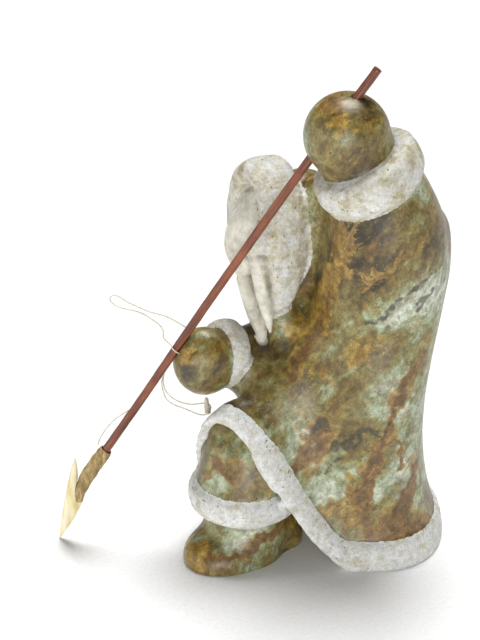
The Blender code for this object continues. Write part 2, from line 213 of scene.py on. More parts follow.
def skin(rows: Array, ring: bool = False) -> Shell:
    """Closes a grid of points into a surface: columns wrap round, and its ends meet or get a pole each.

    Args:
        rows: the grid, as rows of points that run round the form.
        ring: whether the last row joins the first one.

    Returns:
        The points and the faces, with the faces pointing out.
    """
    high, wide = rows.shape[:2]
    points = rows.reshape(-1, 3)
    grid = np.arange(high * wide).reshape(high, wide)
    if ring:
        grid = np.vstack([grid, grid[:1]])
    right = np.roll(grid, -1, axis=1)
    faces = np.stack([grid[:-1], right[:-1], right[1:], grid[1:]], axis=-1).reshape(-1, 4).tolist()
    if not ring:
        points = np.vstack([points, rows[0].mean(axis=0), rows[-1].mean(axis=0)])
        first, last = len(points) - 2, len(points) - 1
        faces += np.stack([right[0], grid[0], np.full(wide, first)], axis=1).tolist()
        faces += np.stack([grid[-1], right[-1], np.full(wide, last)], axis=1).tolist()
    corners = points[np.array([face[:3] for face in faces])]
    if np.einsum("ij,ij->i", corners[:, 0], np.cross(corners[:, 1], corners[:, 2])).sum() < 0:
        faces = [face[::-1] for face in faces]
    return points, faces


def tube_rows(path: Array, radii: Array, sides: int) -> Array:
    """Rings across a path: the centre, plus the radius times the cosine of one direction across and the sine
    of the other.

    Args:
        path: the centres, one a row.
        radii: one radius for each centre, or a row of them with one for each side.
        sides: how many points a ring has.

    Returns:
        The grid of points, one ring a row.
    """
    first, second = frames_along(path)
    turn = all_round(sides)[None, :, None]
    circle = first[:, None] * np.cos(turn) + second[:, None] * np.sin(turn)
    return path[:, None] + circle * np.asarray(radii, float).reshape(len(path), -1, 1)


def domed(path: Array, radii: Array, dome: float) -> tuple[Array, Array]:
    """Rounds both ends of a limb with quarter ellipses.

    Args:
        path: the limb's centres.
        radii: its radius at each of them.
        dome: how long an ellipse is, as a share of the radius at its end.

    Returns:
        The longer path and its radii.
    """
    turn = np.linspace(0.08, 1, 6, endpoint=False) * math.pi / 2
    start = unit(path[0] - path[1]) * dome * radii[0]
    end = unit(path[-1] - path[-2]) * dome * radii[-1]
    before = path[0] + np.cos(turn)[:, None] * start
    after = path[-1] + np.cos(turn[::-1])[:, None] * end
    ends = np.sin(turn) * radii[0], np.sin(turn[::-1]) * radii[-1]
    return np.vstack([before, path, after]), np.concatenate([ends[0], radii, ends[1]])


def mesh_of(name: str, shells: list[Shell]) -> bpy.types.Mesh:
    """Puts closed surfaces into one mesh.

    Args:
        name: the mesh's name.
        shells: each surface's points, in millimetres, and its faces.

    Returns:
        The mesh, in metres.
    """
    points, faces, start = [], [], 0
    for shell_points, shell_faces in shells:
        points.append(shell_points)
        faces += [[i + start for i in face] for face in shell_faces]
        start += len(shell_points)
    mesh = bpy.data.meshes.new(name)
    mesh.from_pydata((np.vstack(points) * MM).tolist(), [], faces)
    mesh.update()
    return mesh


def place(name: str, data: bpy.types.ID) -> bpy.types.Object:
    """Adds an object to the scene, at the origin.

    Args:
        name: the object's name.
        data: its mesh, light or camera.

    Returns:
        The object.
    """
    obj = bpy.data.objects.new(name, data)
    bpy.context.scene.collection.objects.link(obj)
    return obj


def settle(obj: bpy.types.Object) -> None:
    """Turns what the modifiers make into the object's own mesh.

    Args:
        obj: the object.
    """
    mesh = bpy.data.meshes.new_from_object(obj.evaluated_get(bpy.context.evaluated_depsgraph_get()))
    obj.modifiers.clear()
    obj.data = mesh


def carve(obj: bpy.types.Object, cutters: list[bpy.types.Mesh]) -> None:
    """Cuts closed meshes out of an object, one after another.

    Args:
        obj: the object that is cut.
        cutters: what is taken out of it.
    """
    for mesh in cutters:
        cutter = place(mesh.name, mesh)
        cut = obj.modifiers.new(mesh.name, "BOOLEAN")
        cut.operation, cut.solver, cut.object = "DIFFERENCE", "EXACT", cutter
        settle(obj)
        bpy.data.objects.remove(cutter)


def read(items: Any, name: str, width: int, kind: type = np.float32) -> Array:
    """Reads what a mesh keeps for each of its points, edges or corners.

    Args:
        items: the mesh's points, edges or corners.
        name: what is read from each.
        width: how many numbers each has.
        kind: the numbers' type.

    Returns:
        One row for each item.
    """
    flat = np.zeros(len(items) * width, kind)
    items.foreach_get(name, flat)
    return flat.reshape(-1, width)


def read_points(mesh: bpy.types.Mesh) -> Array:
    """The mesh's points in millimetres."""
    return read(mesh.vertices, "co", 3).astype(float) / MM


def read_normals(mesh: bpy.types.Mesh) -> Array:
    """The direction out of the surface at each point."""
    return read(mesh.vertices, "normal", 3).astype(float)


def read_edges(mesh: bpy.types.Mesh) -> Array:
    """The mesh's edges as pairs of point numbers."""
    return read(mesh.edges, "vertices", 2, np.int32)


def write_points(mesh: bpy.types.Mesh, points: Array) -> None:
    """Puts points, in millimetres, back into the mesh."""
    mesh.vertices.foreach_set("co", (points * MM).astype(np.float32).ravel())
    mesh.update()


def neighbours_mean(values: Array, edges: Array) -> Array:
    """The mean of the values at the points that edges join to each point.

    Args:
        values: one number a point.
        edges: pairs of point numbers.

    Returns:
        One mean a point.
    """
    a, b = edges.T
    count = np.bincount(edges.ravel(), minlength=len(values)).clip(1)
    return (np.bincount(a, values[b], len(values)) + np.bincount(b, values[a], len(values))) / count


def relax(values: Array, edges: Array, weight: Array | float, rounds: int) -> Array:
    """Moves each value towards the mean of its neighbours by its weight, round after round.

    Args:
        values: one number or one row a point.
        edges: pairs of point numbers.
        weight: how far each point's value goes in a round, from nothing to one.
        rounds: how many times they move.

    Returns:
        The moved values.
    """
    columns = [column.copy() for column in np.atleast_2d(values.T)]
    for _ in range(rounds):
        for column in columns:
            column += weight * (neighbours_mean(column, edges) - column)
    return np.stack(columns, axis=1).squeeze()


def bell(points: Array, path: Array) -> Array:
    """Two to the power of minus the square of far, the least distance to a path over its half width there.

    Args:
        points: one place a row.
        path: places of x, y, z and half width.

    Returns:
        One a point on the path, one half at its half width, less beyond.
    """
    found = np.zeros(len(points))
    for *centre, half_width in path:
        far = np.linalg.norm(points - centre, axis=1) / half_width
        np.maximum(found, np.exp(-0.69 * far**2), out=found)
    return found


def give(mesh: bpy.types.Mesh, name: str, values: Array) -> None:
    """Keeps one number a point in the mesh, for its material."""
    mesh.attributes.new(name, "FLOAT", "POINT").data.foreach_set("value", values.astype(np.float32))


def map_tube(mesh: bpy.types.Mesh, rows: int, sides: int, size: tuple[float, float]) -> None:
    """Gives a tube from skin a UV map in metres, with U along it and V round it.

    Args:
        mesh: the tube.
        rows: how many rings it has.
        sides: how many points a ring has.
        size: the tube's length and girth in metres.
    """
    index = read(mesh.loops, "vertex_index", 1, np.int32)[:, 0]
    u = np.minimum(index // sides, rows - 1) / max(rows - 1, 1) * size[0]
    v = (index % sides) / sides * size[1]
    layer = mesh.uv_layers.new(name="length")
    layer.data.foreach_set("uv", np.stack([u, v], axis=1).astype(np.float32).ravel())


def show(piece: bpy.types.Object, node: str, material: bpy.types.Material) -> None:
    """Gives a piece its smooth shading and its finish, and lets it stand for its CAD node.

    Args:
        piece: the finished object.
        node: the CAD node that it replaces.
        material: its finish.
    """
    mesh = piece.data
    mesh.polygons.foreach_set("use_smooth", np.ones(len(mesh.polygons), bool))
    mesh.materials.clear()
    mesh.materials.append(material)
    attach(piece, BODY)
    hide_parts(node)
    log.info("%s: %d faces", piece.name, len(mesh.polygons))


def connect(node: bpy.types.Node, inputs: Inputs) -> None:
    """Links a node's inputs to sockets, or sets them to plain values.

    Args:
        node: the node.
        inputs: a value or another node's output for each input, by name or number, or in order.
    """
    for key, value in inputs.items() if isinstance(inputs, dict) else enumerate(inputs):
        if isinstance(value, Socket):
            node.id_data.links.new(value, node.inputs[key])
        else:
            node.inputs[key].default_value = value


def add(tree: bpy.types.NodeTree, kind: str, settings: dict, inputs: Inputs, output: int | str = 0) -> Socket:
    """Adds one shader node.

    Args:
        tree: the material's node tree.
        kind: the node's type, without the ShaderNode in front.
        settings: its properties; ramp holds a colour ramp's stops as places and hex colours.
        inputs: a value or another node's output for each input, by name or number, or in order.
        output: which of its outputs is wanted.

    Returns:
        That output.
    """
    node = tree.nodes.new("ShaderNode" + kind)
    for name, value in settings.items():
        if name != "ramp":
            setattr(node, name, value)
            continue
        stops = node.color_ramp.elements
        for i, (spot, colour) in enumerate(value):
            stop = stops[i] if i < 2 else stops.new(spot)
            stop.position, stop.color = spot, linear(colour)
    connect(node, inputs)
    return node.outputs[output]


def new_material(name: str) -> tuple[bpy.types.Material, bpy.types.NodeTree, bpy.types.Node]:
    """Starts a material.

    Args:
        name: what it is and how it was finished.

    Returns:
        The material, its node tree and its Principled BSDF.
    """
    material = bpy.data.materials.new(name)
    material.use_nodes = True
    return material, material.node_tree, material.node_tree.nodes["Principled BSDF"]


# The carving's forms, in millimetres, as in the CAD source


@dataclass(frozen=True)
class Limb:
    """A tapering limb through joints of x, y, z and radius."""

    joints: Joints
    dome: float = 0.35
    steps: int = 12
    sides: int = 56

    def path(self) -> Array:
        """The joints' smooth path, with its radii in the last column."""
        return smooth_path(self.joints, self.steps)

    def shell(self) -> Shell:
        """Circles carried along the path, with rounded ends.

        Returns:
            The closed surface.
        """
        path = self.path()
        centres, radii = domed(path[:, :3], path[:, 3], self.dome)
        return skin(tube_rows(centres, radii, self.sides))

    def depth(self, points: Array) -> Array:
        """How far each point lies outside the limb: the least distance to a centre, less its radius.

        Args:
            points: one place a row.

        Returns:
            One distance a point, less than nothing inside.
        """
        least = np.full(len(points), np.inf)
        for *centre, radius in self.path():
            np.minimum(least, np.linalg.norm(points - centre, axis=1) - radius, out=least)
        return least


@dataclass(frozen=True)
class Egg:
    """An ellipsoid with its own radius along each turned axis."""

    centre: Triple
    radii: Triple
    turn: Triple = (0, 0, 0)
    rings: int = 42
    sides: int = 64

    def shell(self) -> Shell:
        """The unit sphere by latitude and longitude, scaled, turned and moved.

        Returns:
            The closed surface.
        """
        up = np.linspace(-math.pi / 2, math.pi / 2, self.rings)[1:-1, None]
        east = all_round(self.sides)[None]
        ball = np.broadcast_arrays(np.cos(up) * np.cos(east), np.cos(up) * np.sin(east), np.sin(up))
        return skin(np.stack(ball, -1) * self.radii @ turned(*self.turn).T + self.centre)


@dataclass(frozen=True)
class Band:
    """A fur band: an oval ring about its turned axis, with a rounded square section. Its height falls to
    low_share of the full one at one side, and its frost reaches out to margin, where the surface is one.
    """

    centre: Triple
    axis: Triple
    radii: tuple[float, float]
    thickness: float
    height: float
    turn: Triple | None = None
    low_share: float = 1.0
    margin: float = 1.3
    squareness: float = 0.75
    sides: tuple[int, int] = (160, 40)

    def rotation(self) -> Array:
        """The band's own axes.

        Returns:
            The rotation from them to the figure's, as three rows.
        """
        if self.turn is None:
            return facing(self.axis)
        return turned(*self.turn) @ np.array(Matrix.Rotation(math.radians(90), 3, "X"))

    def narrowing(self, around: Array) -> Array:
        """The band's height round the ring, as a share of its full one."""
        return self.low_share + (1 - self.low_share) * np.clip(1.15 + 1.15 * np.sin(around), 0, 1)

    def oval(self, around: Array, swapped: bool = False) -> Array:
        """The oval at each angle: cosine and sine times the two radii, or times each other's.

        Args:
            around: the angles.
            swapped: whether the radii change places, which gives the way square to the oval.

        Returns:
            The places, as x and y in the last axis.
        """
        wide, deep = self.radii[::-1] if swapped else self.radii
        return np.stack([np.cos(around) * wide, np.sin(around) * deep], axis=-1)

    def shell(self) -> Shell:
        """The section, a circle with each coordinate raised to a power, carried square to the oval.

        Returns:
            The closed surface.
        """
        around, across = all_round(self.sides[0]), all_round(self.sides[1])[None]
        out = shaped(np.cos(across), self.squareness) * self.thickness / 2
        up = shaped(np.sin(across), self.squareness) * self.height / 2 * self.narrowing(around[:, None])
        square = self.oval(around, swapped=True)
        square /= np.linalg.norm(square, axis=1)[:, None]
        flat = self.oval(around)[:, None] + square[:, None] * out[..., None]
        rows = np.concatenate([flat, np.broadcast_to(up[..., None], (*up.shape, 1))], axis=-1)
        return skin(rows @ self.rotation().T + self.centre, ring=True)

    def own(self, points: Array) -> tuple[Array, Array, Array]:
        """Where points lie in the band's own measure.

        Args:
            points: one place a row.

        Returns:
            Each point's angle round the band, its distance out of the oval and its height along the axis.
        """
        local = (points - self.centre) @ self.rotation()
        around = np.arctan2(local[:, 1] / self.radii[1], local[:, 0] / self.radii[0])
        out = np.linalg.norm(local[:, :2], axis=1) - np.linalg.norm(self.oval(around), axis=1)
        return around, out, local[:, 2]

    def nearness(self, points: Array) -> Array:
        """How near points are to the band, by the sum of powers of their shares of its thickness and height.

        Args:
            points: one place a row.

        Returns:
            One on the band's surface, falling to nothing a little way off it.
        """
        around, out, up = self.own(points)
        height = self.height / 2 * self.narrowing(around)
        power = 2 / self.squareness
        share = np.abs(out / (self.thickness / 2)) ** power + np.abs(up / height) ** power
        return 1 - ease(share, self.margin, self.margin + 0.5)

    def opening(self, points: Array) -> Array:
        """One inside the band's opening and in front of its middle, where the face is."""
        _, out, up = self.own(points)
        return (1 - ease(out, 2.0, 4.0)) * ease(up, -9, -5)


@dataclass(frozen=True)
class Parka:
    """The parka, from its hem up to the shoulders, as stacked ovals pushed out to the hem's own outline."""

    hem: Joints
    sections: Joints
    relief: float = 3.5
    drape_top: float = 150
    trim_width: float = 17
    trim_slope: float = 12
    undercut: float = 6
    under_shares: tuple[float, float] = (0.42, 0.5)
    under_inset: float = 9
    hem_peak: float = 92
    fade_degrees: float = 30
    columns: int = 360
    trim_profile: Joints = (
        (0.03, 0.75), (0.1, 0.98), (0.3, 1.12), (0.5, 1.15), (0.7, 1.12), (0.9, 0.98), (0.97, 0.6),
    )

    def oval(self, degrees: Array, half_width: Array, half_depth: Array) -> Array:
        """An oval's reach in each direction: one over the length of cosine and sine over its half sizes."""
        angle = np.radians(degrees)
        return 1 / np.hypot(np.cos(angle) / half_width, np.sin(angle) / half_depth)

    def hem_at(self, degrees: Array) -> tuple[Array, Array]:
        """The hem's edge: the table where it is raised, then the lowest oval, and the step between faded out.

        Args:
            degrees: directions in plan.

        Returns:
            The edge's distance from the middle and its height in each direction.
        """
        table = np.array(self.hem)[::-1]
        plain = self.oval(degrees, *self.sections[0][3:])
        inside = (degrees > table[0, 0]) & (degrees < table[-1, 0])
        reach = np.interp(degrees, table[:, 0], table[:, 1])
        height = np.where(inside, np.interp(degrees, table[:, 0], table[:, 2]), 0)
        to_first, to_last = np.abs(degrees - table[0, 0]), np.abs(degrees - table[-1, 0])
        edge = np.where(to_last < to_first, -1, 0)
        step = table[edge, 1] - self.oval(table[edge, 0], *self.sections[0][3:])
        fading = plain + step * np.clip(1 - np.minimum(to_first, to_last) / self.fade_degrees, 0, 1) ** 2
        return np.where(inside, reach, fading), height

    def side(self, degrees: Array, height: Array) -> Array:
        """The plain parka: an oval about a middle, both read off the sections at each height.

        Args:
            degrees: directions in plan.
            height: the height of each, in millimetres.

        Returns:
            The surface, as x and y in the last axis.
        """
        table = np.array(self.sections, float)
        x, y, half_width, half_depth = (np.interp(height, table[:, 0], table[:, k]) for k in range(1, 5))
        angle, reach = np.radians(degrees), self.oval(degrees, half_width, half_depth)
        return np.stack([x + reach * np.cos(angle), y + reach * np.sin(angle)], axis=-1)

    def draped(self, degrees: Array, height: Array, proud: float = 0.0) -> Array:
        """The draped surface: the plain one, pushed out towards the hem's outline less and less up to a top.

        Args:
            degrees: directions in plan.
            height: the height of each, in millimetres.
            proud: how far the place stands out of the surface.

        Returns:
            The places, as x, y and z in the last axis.
        """
        reach, hem = self.hem_at(degrees)
        outward = heading(degrees)
        pushed = outward * reach[..., None] - self.side(degrees, hem)
        drape = np.clip(1 - (height - hem) / (self.drape_top - hem), 0, None) ** 1.6
        flat = self.side(degrees, height) + pushed * drape[..., None] + outward * proud
        lift = proud * hem / self.hem_peak
        return np.concatenate([flat, (height + lift)[..., None]], axis=-1)

    def shell(self) -> Shell:
        """One column of points for each direction, from under the hem over the trim to the shoulders. The
        trim is a little lower where the hem is high, and higher where it slopes.

        Returns:
            The closed surface.
        """
        degrees = np.linspace(-180, 180, self.columns, endpoint=False)
        reach, hem = self.hem_at(degrees)
        outward = heading(degrees)
        low = np.where(hem > 0, hem, -self.undercut)[:, None]
        edge = outward * reach[:, None]
        rows = [
            np.hstack([edge * self.under_shares[0], np.full_like(low, -self.undercut)]),
            np.hstack([edge * self.under_shares[1], hem[:, None] * 0.6 - self.undercut]),
            np.hstack([edge - outward * self.under_inset, low]),
            np.hstack([edge + outward * self.relief * 0.3, low]),
        ]
        share = hem / self.hem_peak
        trim = self.trim_width - 4 * share + self.trim_slope * share * (1 - share)
        for up, proud in self.trim_profile:
            rows.append(self.draped(degrees, hem + trim * up, self.relief * proud))
        above = hem + trim + 0.4
        rows += [self.draped(degrees, above + (self.drape_top - above) * up) for up in np.linspace(0, 1, 40)]
        tops = [section[0] for section in self.sections if section[0] > self.drape_top]
        for height in np.interp(np.arange(0, len(tops), 0.5), np.arange(len(tops)), tops):
            rows.append(self.draped(degrees, np.full_like(degrees, height)))
        return skin(np.stack(rows))

    def against(self, points: Array) -> tuple[Array, Array, Array, Array]:
        """Where points lie against the parka.

        Args:
            points: one place a row.

        Returns:
            The hem's reach and height in each point's direction, the point's own reach, and how far it lies
            outside the cloth.
        """
        degrees = np.degrees(np.arctan2(points[:, 1], points[:, 0]))
        reach, hem = self.hem_at(degrees)
        outer = np.linalg.norm(self.draped(degrees, np.maximum(points[:, 2], hem))[:, :2], axis=1)
        out = np.linalg.norm(points[:, :2], axis=1)
        return reach, hem, out, out - outer

    def cover(self, points: Array) -> Array:
        """One on the parka's outside above its hem, nothing under it."""
        _, hem, _, proud = self.against(points)
        return ease(points[:, 2] - hem, 0, 2) * ease(proud, -4, -2)

    def hem_nearness(self, points: Array) -> Array:
        """How near points are to the hem's trim: their distance from the hem's edge against the trim's width.

        Args:
            points: one place a row.

        Returns:
            One on the trim, falling to nothing a little way off it.
        """
        reach, hem, out, proud = self.against(points)
        up = points[:, 2] + ripple(points, 5, 11) * 0.2 - hem
        away = np.hypot(np.maximum(reach - out, 0), up)
        share = hem / self.hem_peak
        limit = self.trim_width + 1.5 - 5 * share**3 + self.trim_slope * share * (1 - share)
        return (1 - ease(away, limit - 0.6, limit + 0.6)) * ease(up, -6, -3) * ease(proud, -5.5, -3)


class Stain(Enum):
    """A colour that runs through the stone in veins or patches; its value names the mesh's attribute."""

    PALE = "pale"
    RUST = "rust"
    GOLD = "gold"
    DARK = "dark"
    TRIM_RUST = "trim_rust"


@dataclass(frozen=True)
class Vein:
    """A vein or patch of one stain along places of x, y, z and half width."""

    stain: Stain
    places: Joints
    strength: float = 1.0

    def amount(self, points: Array) -> Array:
        """The vein's strength on its path, half as much at its half width, less beyond."""
        path = smooth_path(self.places, 8) if len(self.places) > 1 else np.array(self.places, float)
        return bell(points, path) * self.strength


@dataclass(frozen=True)
class Crease:
    """A groove cut into the stone along places of x, y, z and half width."""

    places: Joints
    depth: float

    def amount(self, points: Array) -> Array:
        """One along the groove's bottom, half at its half width, less beyond."""
        return bell(points, smooth_path(self.places, 10))


RUFF_TURN = (-2, 8, 4)
HEM = (
    (-32, 67.3, 0), (-35.5, 67.4, 1.6), (-39, 67.6, 4.6), (-42.5, 68, 9), (-49.6, 70.4, 18),
    (-55.4, 73.2, 29), (-60, 77.2, 41), (-64.3, 80.7, 53), (-68, 84.4, 64), (-72, 87.7, 75),
    (-75.6, 91.2, 84), (-79, 94, 89.5), (-82, 96.2, 92), (-86, 98.7, 92), (-89.5, 100.7, 89),
    (-93, 102.7, 82), (-97, 103.7, 70), (-101, 102.7, 55), (-106, 98.7, 38), (-112, 90.7, 21),
    (-120, 78.7, 7), (-130, 66.7, 0),
)
PARKA_SECTIONS = (
    (0, 0, -0.5, 69, 46.5), (20, 1, -1.5, 63.5, 44), (37, 1, -3, 60, 41), (55, 2, -4.5, 58, 39),
    (75, 2, -5.5, 57, 38.5), (100, 3, -5, 55.5, 39), (125, 3, 0, 53, 38.5), (150, 3, 6, 50, 38.5),
    (174, 4, 12, 45, 38), (191, 5, 15, 42, 35), (205, 8, 15, 36, 32.5), (214, 11, 16, 26, 23),
    (220, 13, 15, 12, 10),
)
CHEEKS = (
    Limb(
        (
            (-28, -52, 217, 9), (-29, -56, 206, 13), (-30.5, -60, 195, 14), (-31, -63, 185, 12.5),
            (-30.5, -64.5, 174, 8),
        ),
    ),
    Limb(((-22, -54, 212, 9), (-21, -58, 202, 12), (-20.5, -61, 193, 12), (-19, -63, 186, 9.5))),
)
TUSKS = (
    Limb(
        (
            (-15.3, -61.3, 194.4, 7), (-10.8, -63.8, 185.9, 5.6), (-7.3, -62.8, 166.4, 4.6),
            (-4.8, -60.5, 151.6, 3.6), (-3.6, -58.8, 140.2, 1.7),
        ),
        0.8,
    ),
    Limb(
        (
            (-31, -65.5, 182, 7), (-27.5, -65.3, 167, 4.9), (-23, -63.2, 152, 4.6), (-19, -60.5, 139, 4.0),
            (-15.5, -58, 127.5, 1.7),
        ),
        0.8,
    ),
)
LIMBS = (
    Limb(
        (
            (6, 0, 110, 34), (12, 4, 150, 38), (16, 5, 178, 38), (18.5, 4, 203, 36), (19, 0, 223, 31),
            (18, -6, 240, 26),
        ),
    ),
    Limb(((18, -7, 236, 24), (16, -13, 250, 23), (14, -18, 262, 22))),
    Limb(
        (
            (-8, 10, 184, 18), (-20, 3, 166, 31), (-31, -9, 146, 31), (-35.5, -24, 124, 25.5),
            (-34, -44, 111, 20), (-24, -76, 117, 16),
        ),
    ),
    Limb(((-19, -76, 112, 13), (-13, -62, 106, 20), (-4, -45, 98, 30))),
    Limb(((-28, -42, 206, 18), (-28, -43, 190, 18), (-24, -40, 166, 16))),
    Limb(((16, 6, 200, 31), (0, 3, 192, 31), (-14, 1, 182, 31), (-26, 0, 168, 29), (-32, -4, 150, 26))),
    Limb(((-13, -20, 227, 10), (-12, -20, 204, 17), (-10, -17, 178, 19), (-8, -6, 146, 18))),
    Limb(((-25, -54, 184, 9), (-19, -50, 160, 8), (-14, -44, 138, 12), (-8, -36, 118, 20))),
    Limb(((2, -76, 60, 27), (3, -77.5, 50, 30), (3, -78, 36, 30.5))),
    Limb(((4, -78, 44, 26), (7, -80, 25, 25), (9, -84, -4, 26))),
    Limb(((8, -70, 8, 18), (10, -50, 8, 16))),
)
EGGS = (
    Egg((12.8, -19.8, 265.2), (25.5, 25.5, 25.8)),
    Egg((-18.2, -95.8, 121.4), (17, 19.5, 22.5), (0, 0, -25)),
    Egg((-12, -106, 126), (8, 8, 9)),
    Egg((-27, -27, 187), (23, 31, 42), RUFF_TURN),
    Egg((1, -74, 58), (29.5, 30, 31)),
    Egg((10, -90, 3), (25.5, 34, 18), (0, 0, 10)),
)
FACE_PADS = (
    Egg((-27, -49, 208), (15, 14, 15)),
    Egg((-36, -54, 205), (11, 11, 14)),
    Egg((-12.5, -61.5, 196), (9, 9.5, 9.5)),
    Egg((-26, -63.5, 180.5), (8.5, 9.5, 11)),
)
CREASES = (
    Crease(((-37, -58.5, 219.5, 1.2), (-28, -59.5, 224.5, 1.3), (-18.3, -62.6, 228.3, 1.1)), 1.2),
    Crease(
        (
            (-18.3, -62.6, 228.3, 1.1), (-13.3, -62.2, 225, 1.3), (-10.9, -61.3, 221.3, 1.4),
            (-8.8, -61.1, 213, 1.1),
        ),
        1.2,
    ),
    Crease(((-2.6, -61.7, 188, 1.3), (-2.9, -61.1, 181.7, 1.5), (-3.3, -59.4, 171.2, 1.6)), 1.1),
    Crease(((-3.3, -59.4, 171.2, 1.6), (-4.4, -57.4, 160.5, 1.6), (-9.2, -54, 146.8, 1.4)), 1.1),
    Crease(
        (
            (-20, -69, 184.2, 1.2), (-13, -69.8, 187.4, 1.3), (-7.4, -66.8, 189.4, 1.3),
            (-3, -62.4, 190.2, 1.3),
        ),
        1.3,
    ),
    Crease(((-31.5, -70, 167.6, 1.2), (-25.3, -68.7, 168.2, 1.3), (-22.6, -64.5, 168.6, 1.3)), 1.3),
)
RUFF = Band((-27, -50.5, 190), (0, 0, 1), (22, 43), 14, 28, RUFF_TURN, 0.4, 1.6)
CUFFS = (
    Band((18.2, -8.0, 242.0), (-0.1, -0.45, 0.887), (25.8, 25.8), 14, 22.5, low_share=0.9),
    Band((-22.6, -80.0, 121), (0.2, -0.96, 0.22), (15.6, 16.6), 9, 13),
)
TROUSER_TRIM = Band((3, -78.5, 38), (0, 0, 1), (28.5, 29), 12, 17)
VEINS = (
    Vein(
        Stain.RUST,
        (
            (51, 18, 142, 3), (57, -3, 114, 4.5), (58, -12, 93, 4), (56, -18, 73, 5), (54, -24, 45, 4),
            (59, -24, 19, 3),
        ),
    ),
    Vein(Stain.DARK, ((57, -12, 97, 1.6), (47, -31, 83, 2.2), (42, -38, 72, 1.8), (40, -42, 60, 1.3))),
    Vein(Stain.RUST, ((55, 11, 64, 4), (62, -4, 30, 9), (67, -11, 16, 9), (62, 12, 17, 10))),
    Vein(Stain.DARK, ((33, -45, 92, 5),)),
    Vein(Stain.RUST, ((34, -45, 90, 9),), 0.9),
    Vein(Stain.RUST, ((33, -60, 64, 4), (35, -50, 74, 6), (38, -41, 83, 3))),
    Vein(Stain.GOLD, ((44, -42, 36, 5), (50, -33, 38, 7), (56, -25, 30, 4))),
    Vein(
        Stain.GOLD,
        ((28, -29, 211, 4), (27, -31, 194, 7), (19, -33, 176, 8), (8, -36, 157, 8), (-2, -42, 141, 6)),
    ),
    Vein(Stain.GOLD, ((52, -14, 150, 5), (40, -30, 138, 7), (26, -42, 124, 6)), 0.8),
    Vein(Stain.GOLD, ((50, -34, 60, 3), (54, -28, 44, 4), (52, -34, 24, 3)), 0.9),
    Vein(Stain.RUST, ((21, -34, 167, 3), (14, -38, 150, 5), (12, -44, 135, 5), (14, -55, 118, 4))),
    Vein(Stain.DARK, ((47, 27, 193, 1.5), (54, 8, 183, 2.2), (52, -6, 172, 2.5), (41, -21, 157, 2))),
    Vein(Stain.DARK, ((43, 31, 180, 1.5), (52, 13, 172, 2), (52, -3, 163, 1.4))),
    Vein(Stain.PALE, ((46, 30, 183, 9), (53, 8, 175, 10), (48, -14, 163, 8)), 0.9),
    Vein(Stain.PALE, ((27, -54, 94, 7), (40, -45, 84, 6)), 0.8),
    Vein(Stain.PALE, ((57, 4, 112, 14), (54, 10, 79, 18), (58, 12, 45, 15)), 1.0),
    Vein(Stain.PALE, ((50, 34, 160, 16), (50, 36, 110, 22), (50, 38, 60, 20)), 0.9),
    Vein(Stain.PALE, ((49, -31, 65, 12), (41, -46, 46, 9), (56, -26, 52, 9)), 1.0),
    Vein(Stain.PALE, ((28, -84, 26, 16), (12, -112, 24, 8)), 0.9),
    Vein(Stain.RUST, ((26, -65, 24, 3), (32, -86, 16, 3.5), (32, -102, 11, 4), (27, -114, 8, 4))),
    Vein(Stain.GOLD, ((12, -119, 12, 7), (24, -120, 6, 7)), 0.75),
    Vein(Stain.RUST, ((12, -100, 67, 5), (21, -95, 65, 5)), 0.9),
    Vein(Stain.GOLD, ((29, -33, 280, 6),), 1.0),
    Vein(Stain.RUST, ((6, -24, 290, 4), (14, -32, 288, 5)), 0.8),
    Vein(Stain.PALE, ((24, -24, 288, 3), (32, -24, 282, 4)), 0.3),
    Vein(Stain.PALE, ((36, -24, 215, 15), (52, 12, 205, 18), (42, -20, 190, 13)), -0.38),
    Vein(Stain.PALE, ((48, -20, 138, 14), (46, -26, 120, 12)), -0.25),
    Vein(Stain.PALE, ((4, -44, 142, 11), (10, -52, 122, 12)), 0.3),
    Vein(Stain.DARK, ((10, -44, 272, 6),), 0.6),
    Vein(Stain.GOLD, ((-11, -112, 132, 6),), 0.9),
    Vein(Stain.DARK, ((-7, -111, 121, 7),), 0.8),
    Vein(Stain.TRIM_RUST, ((30, -69, 57, 1.8), (29, -73, 47, 1.8))),
)


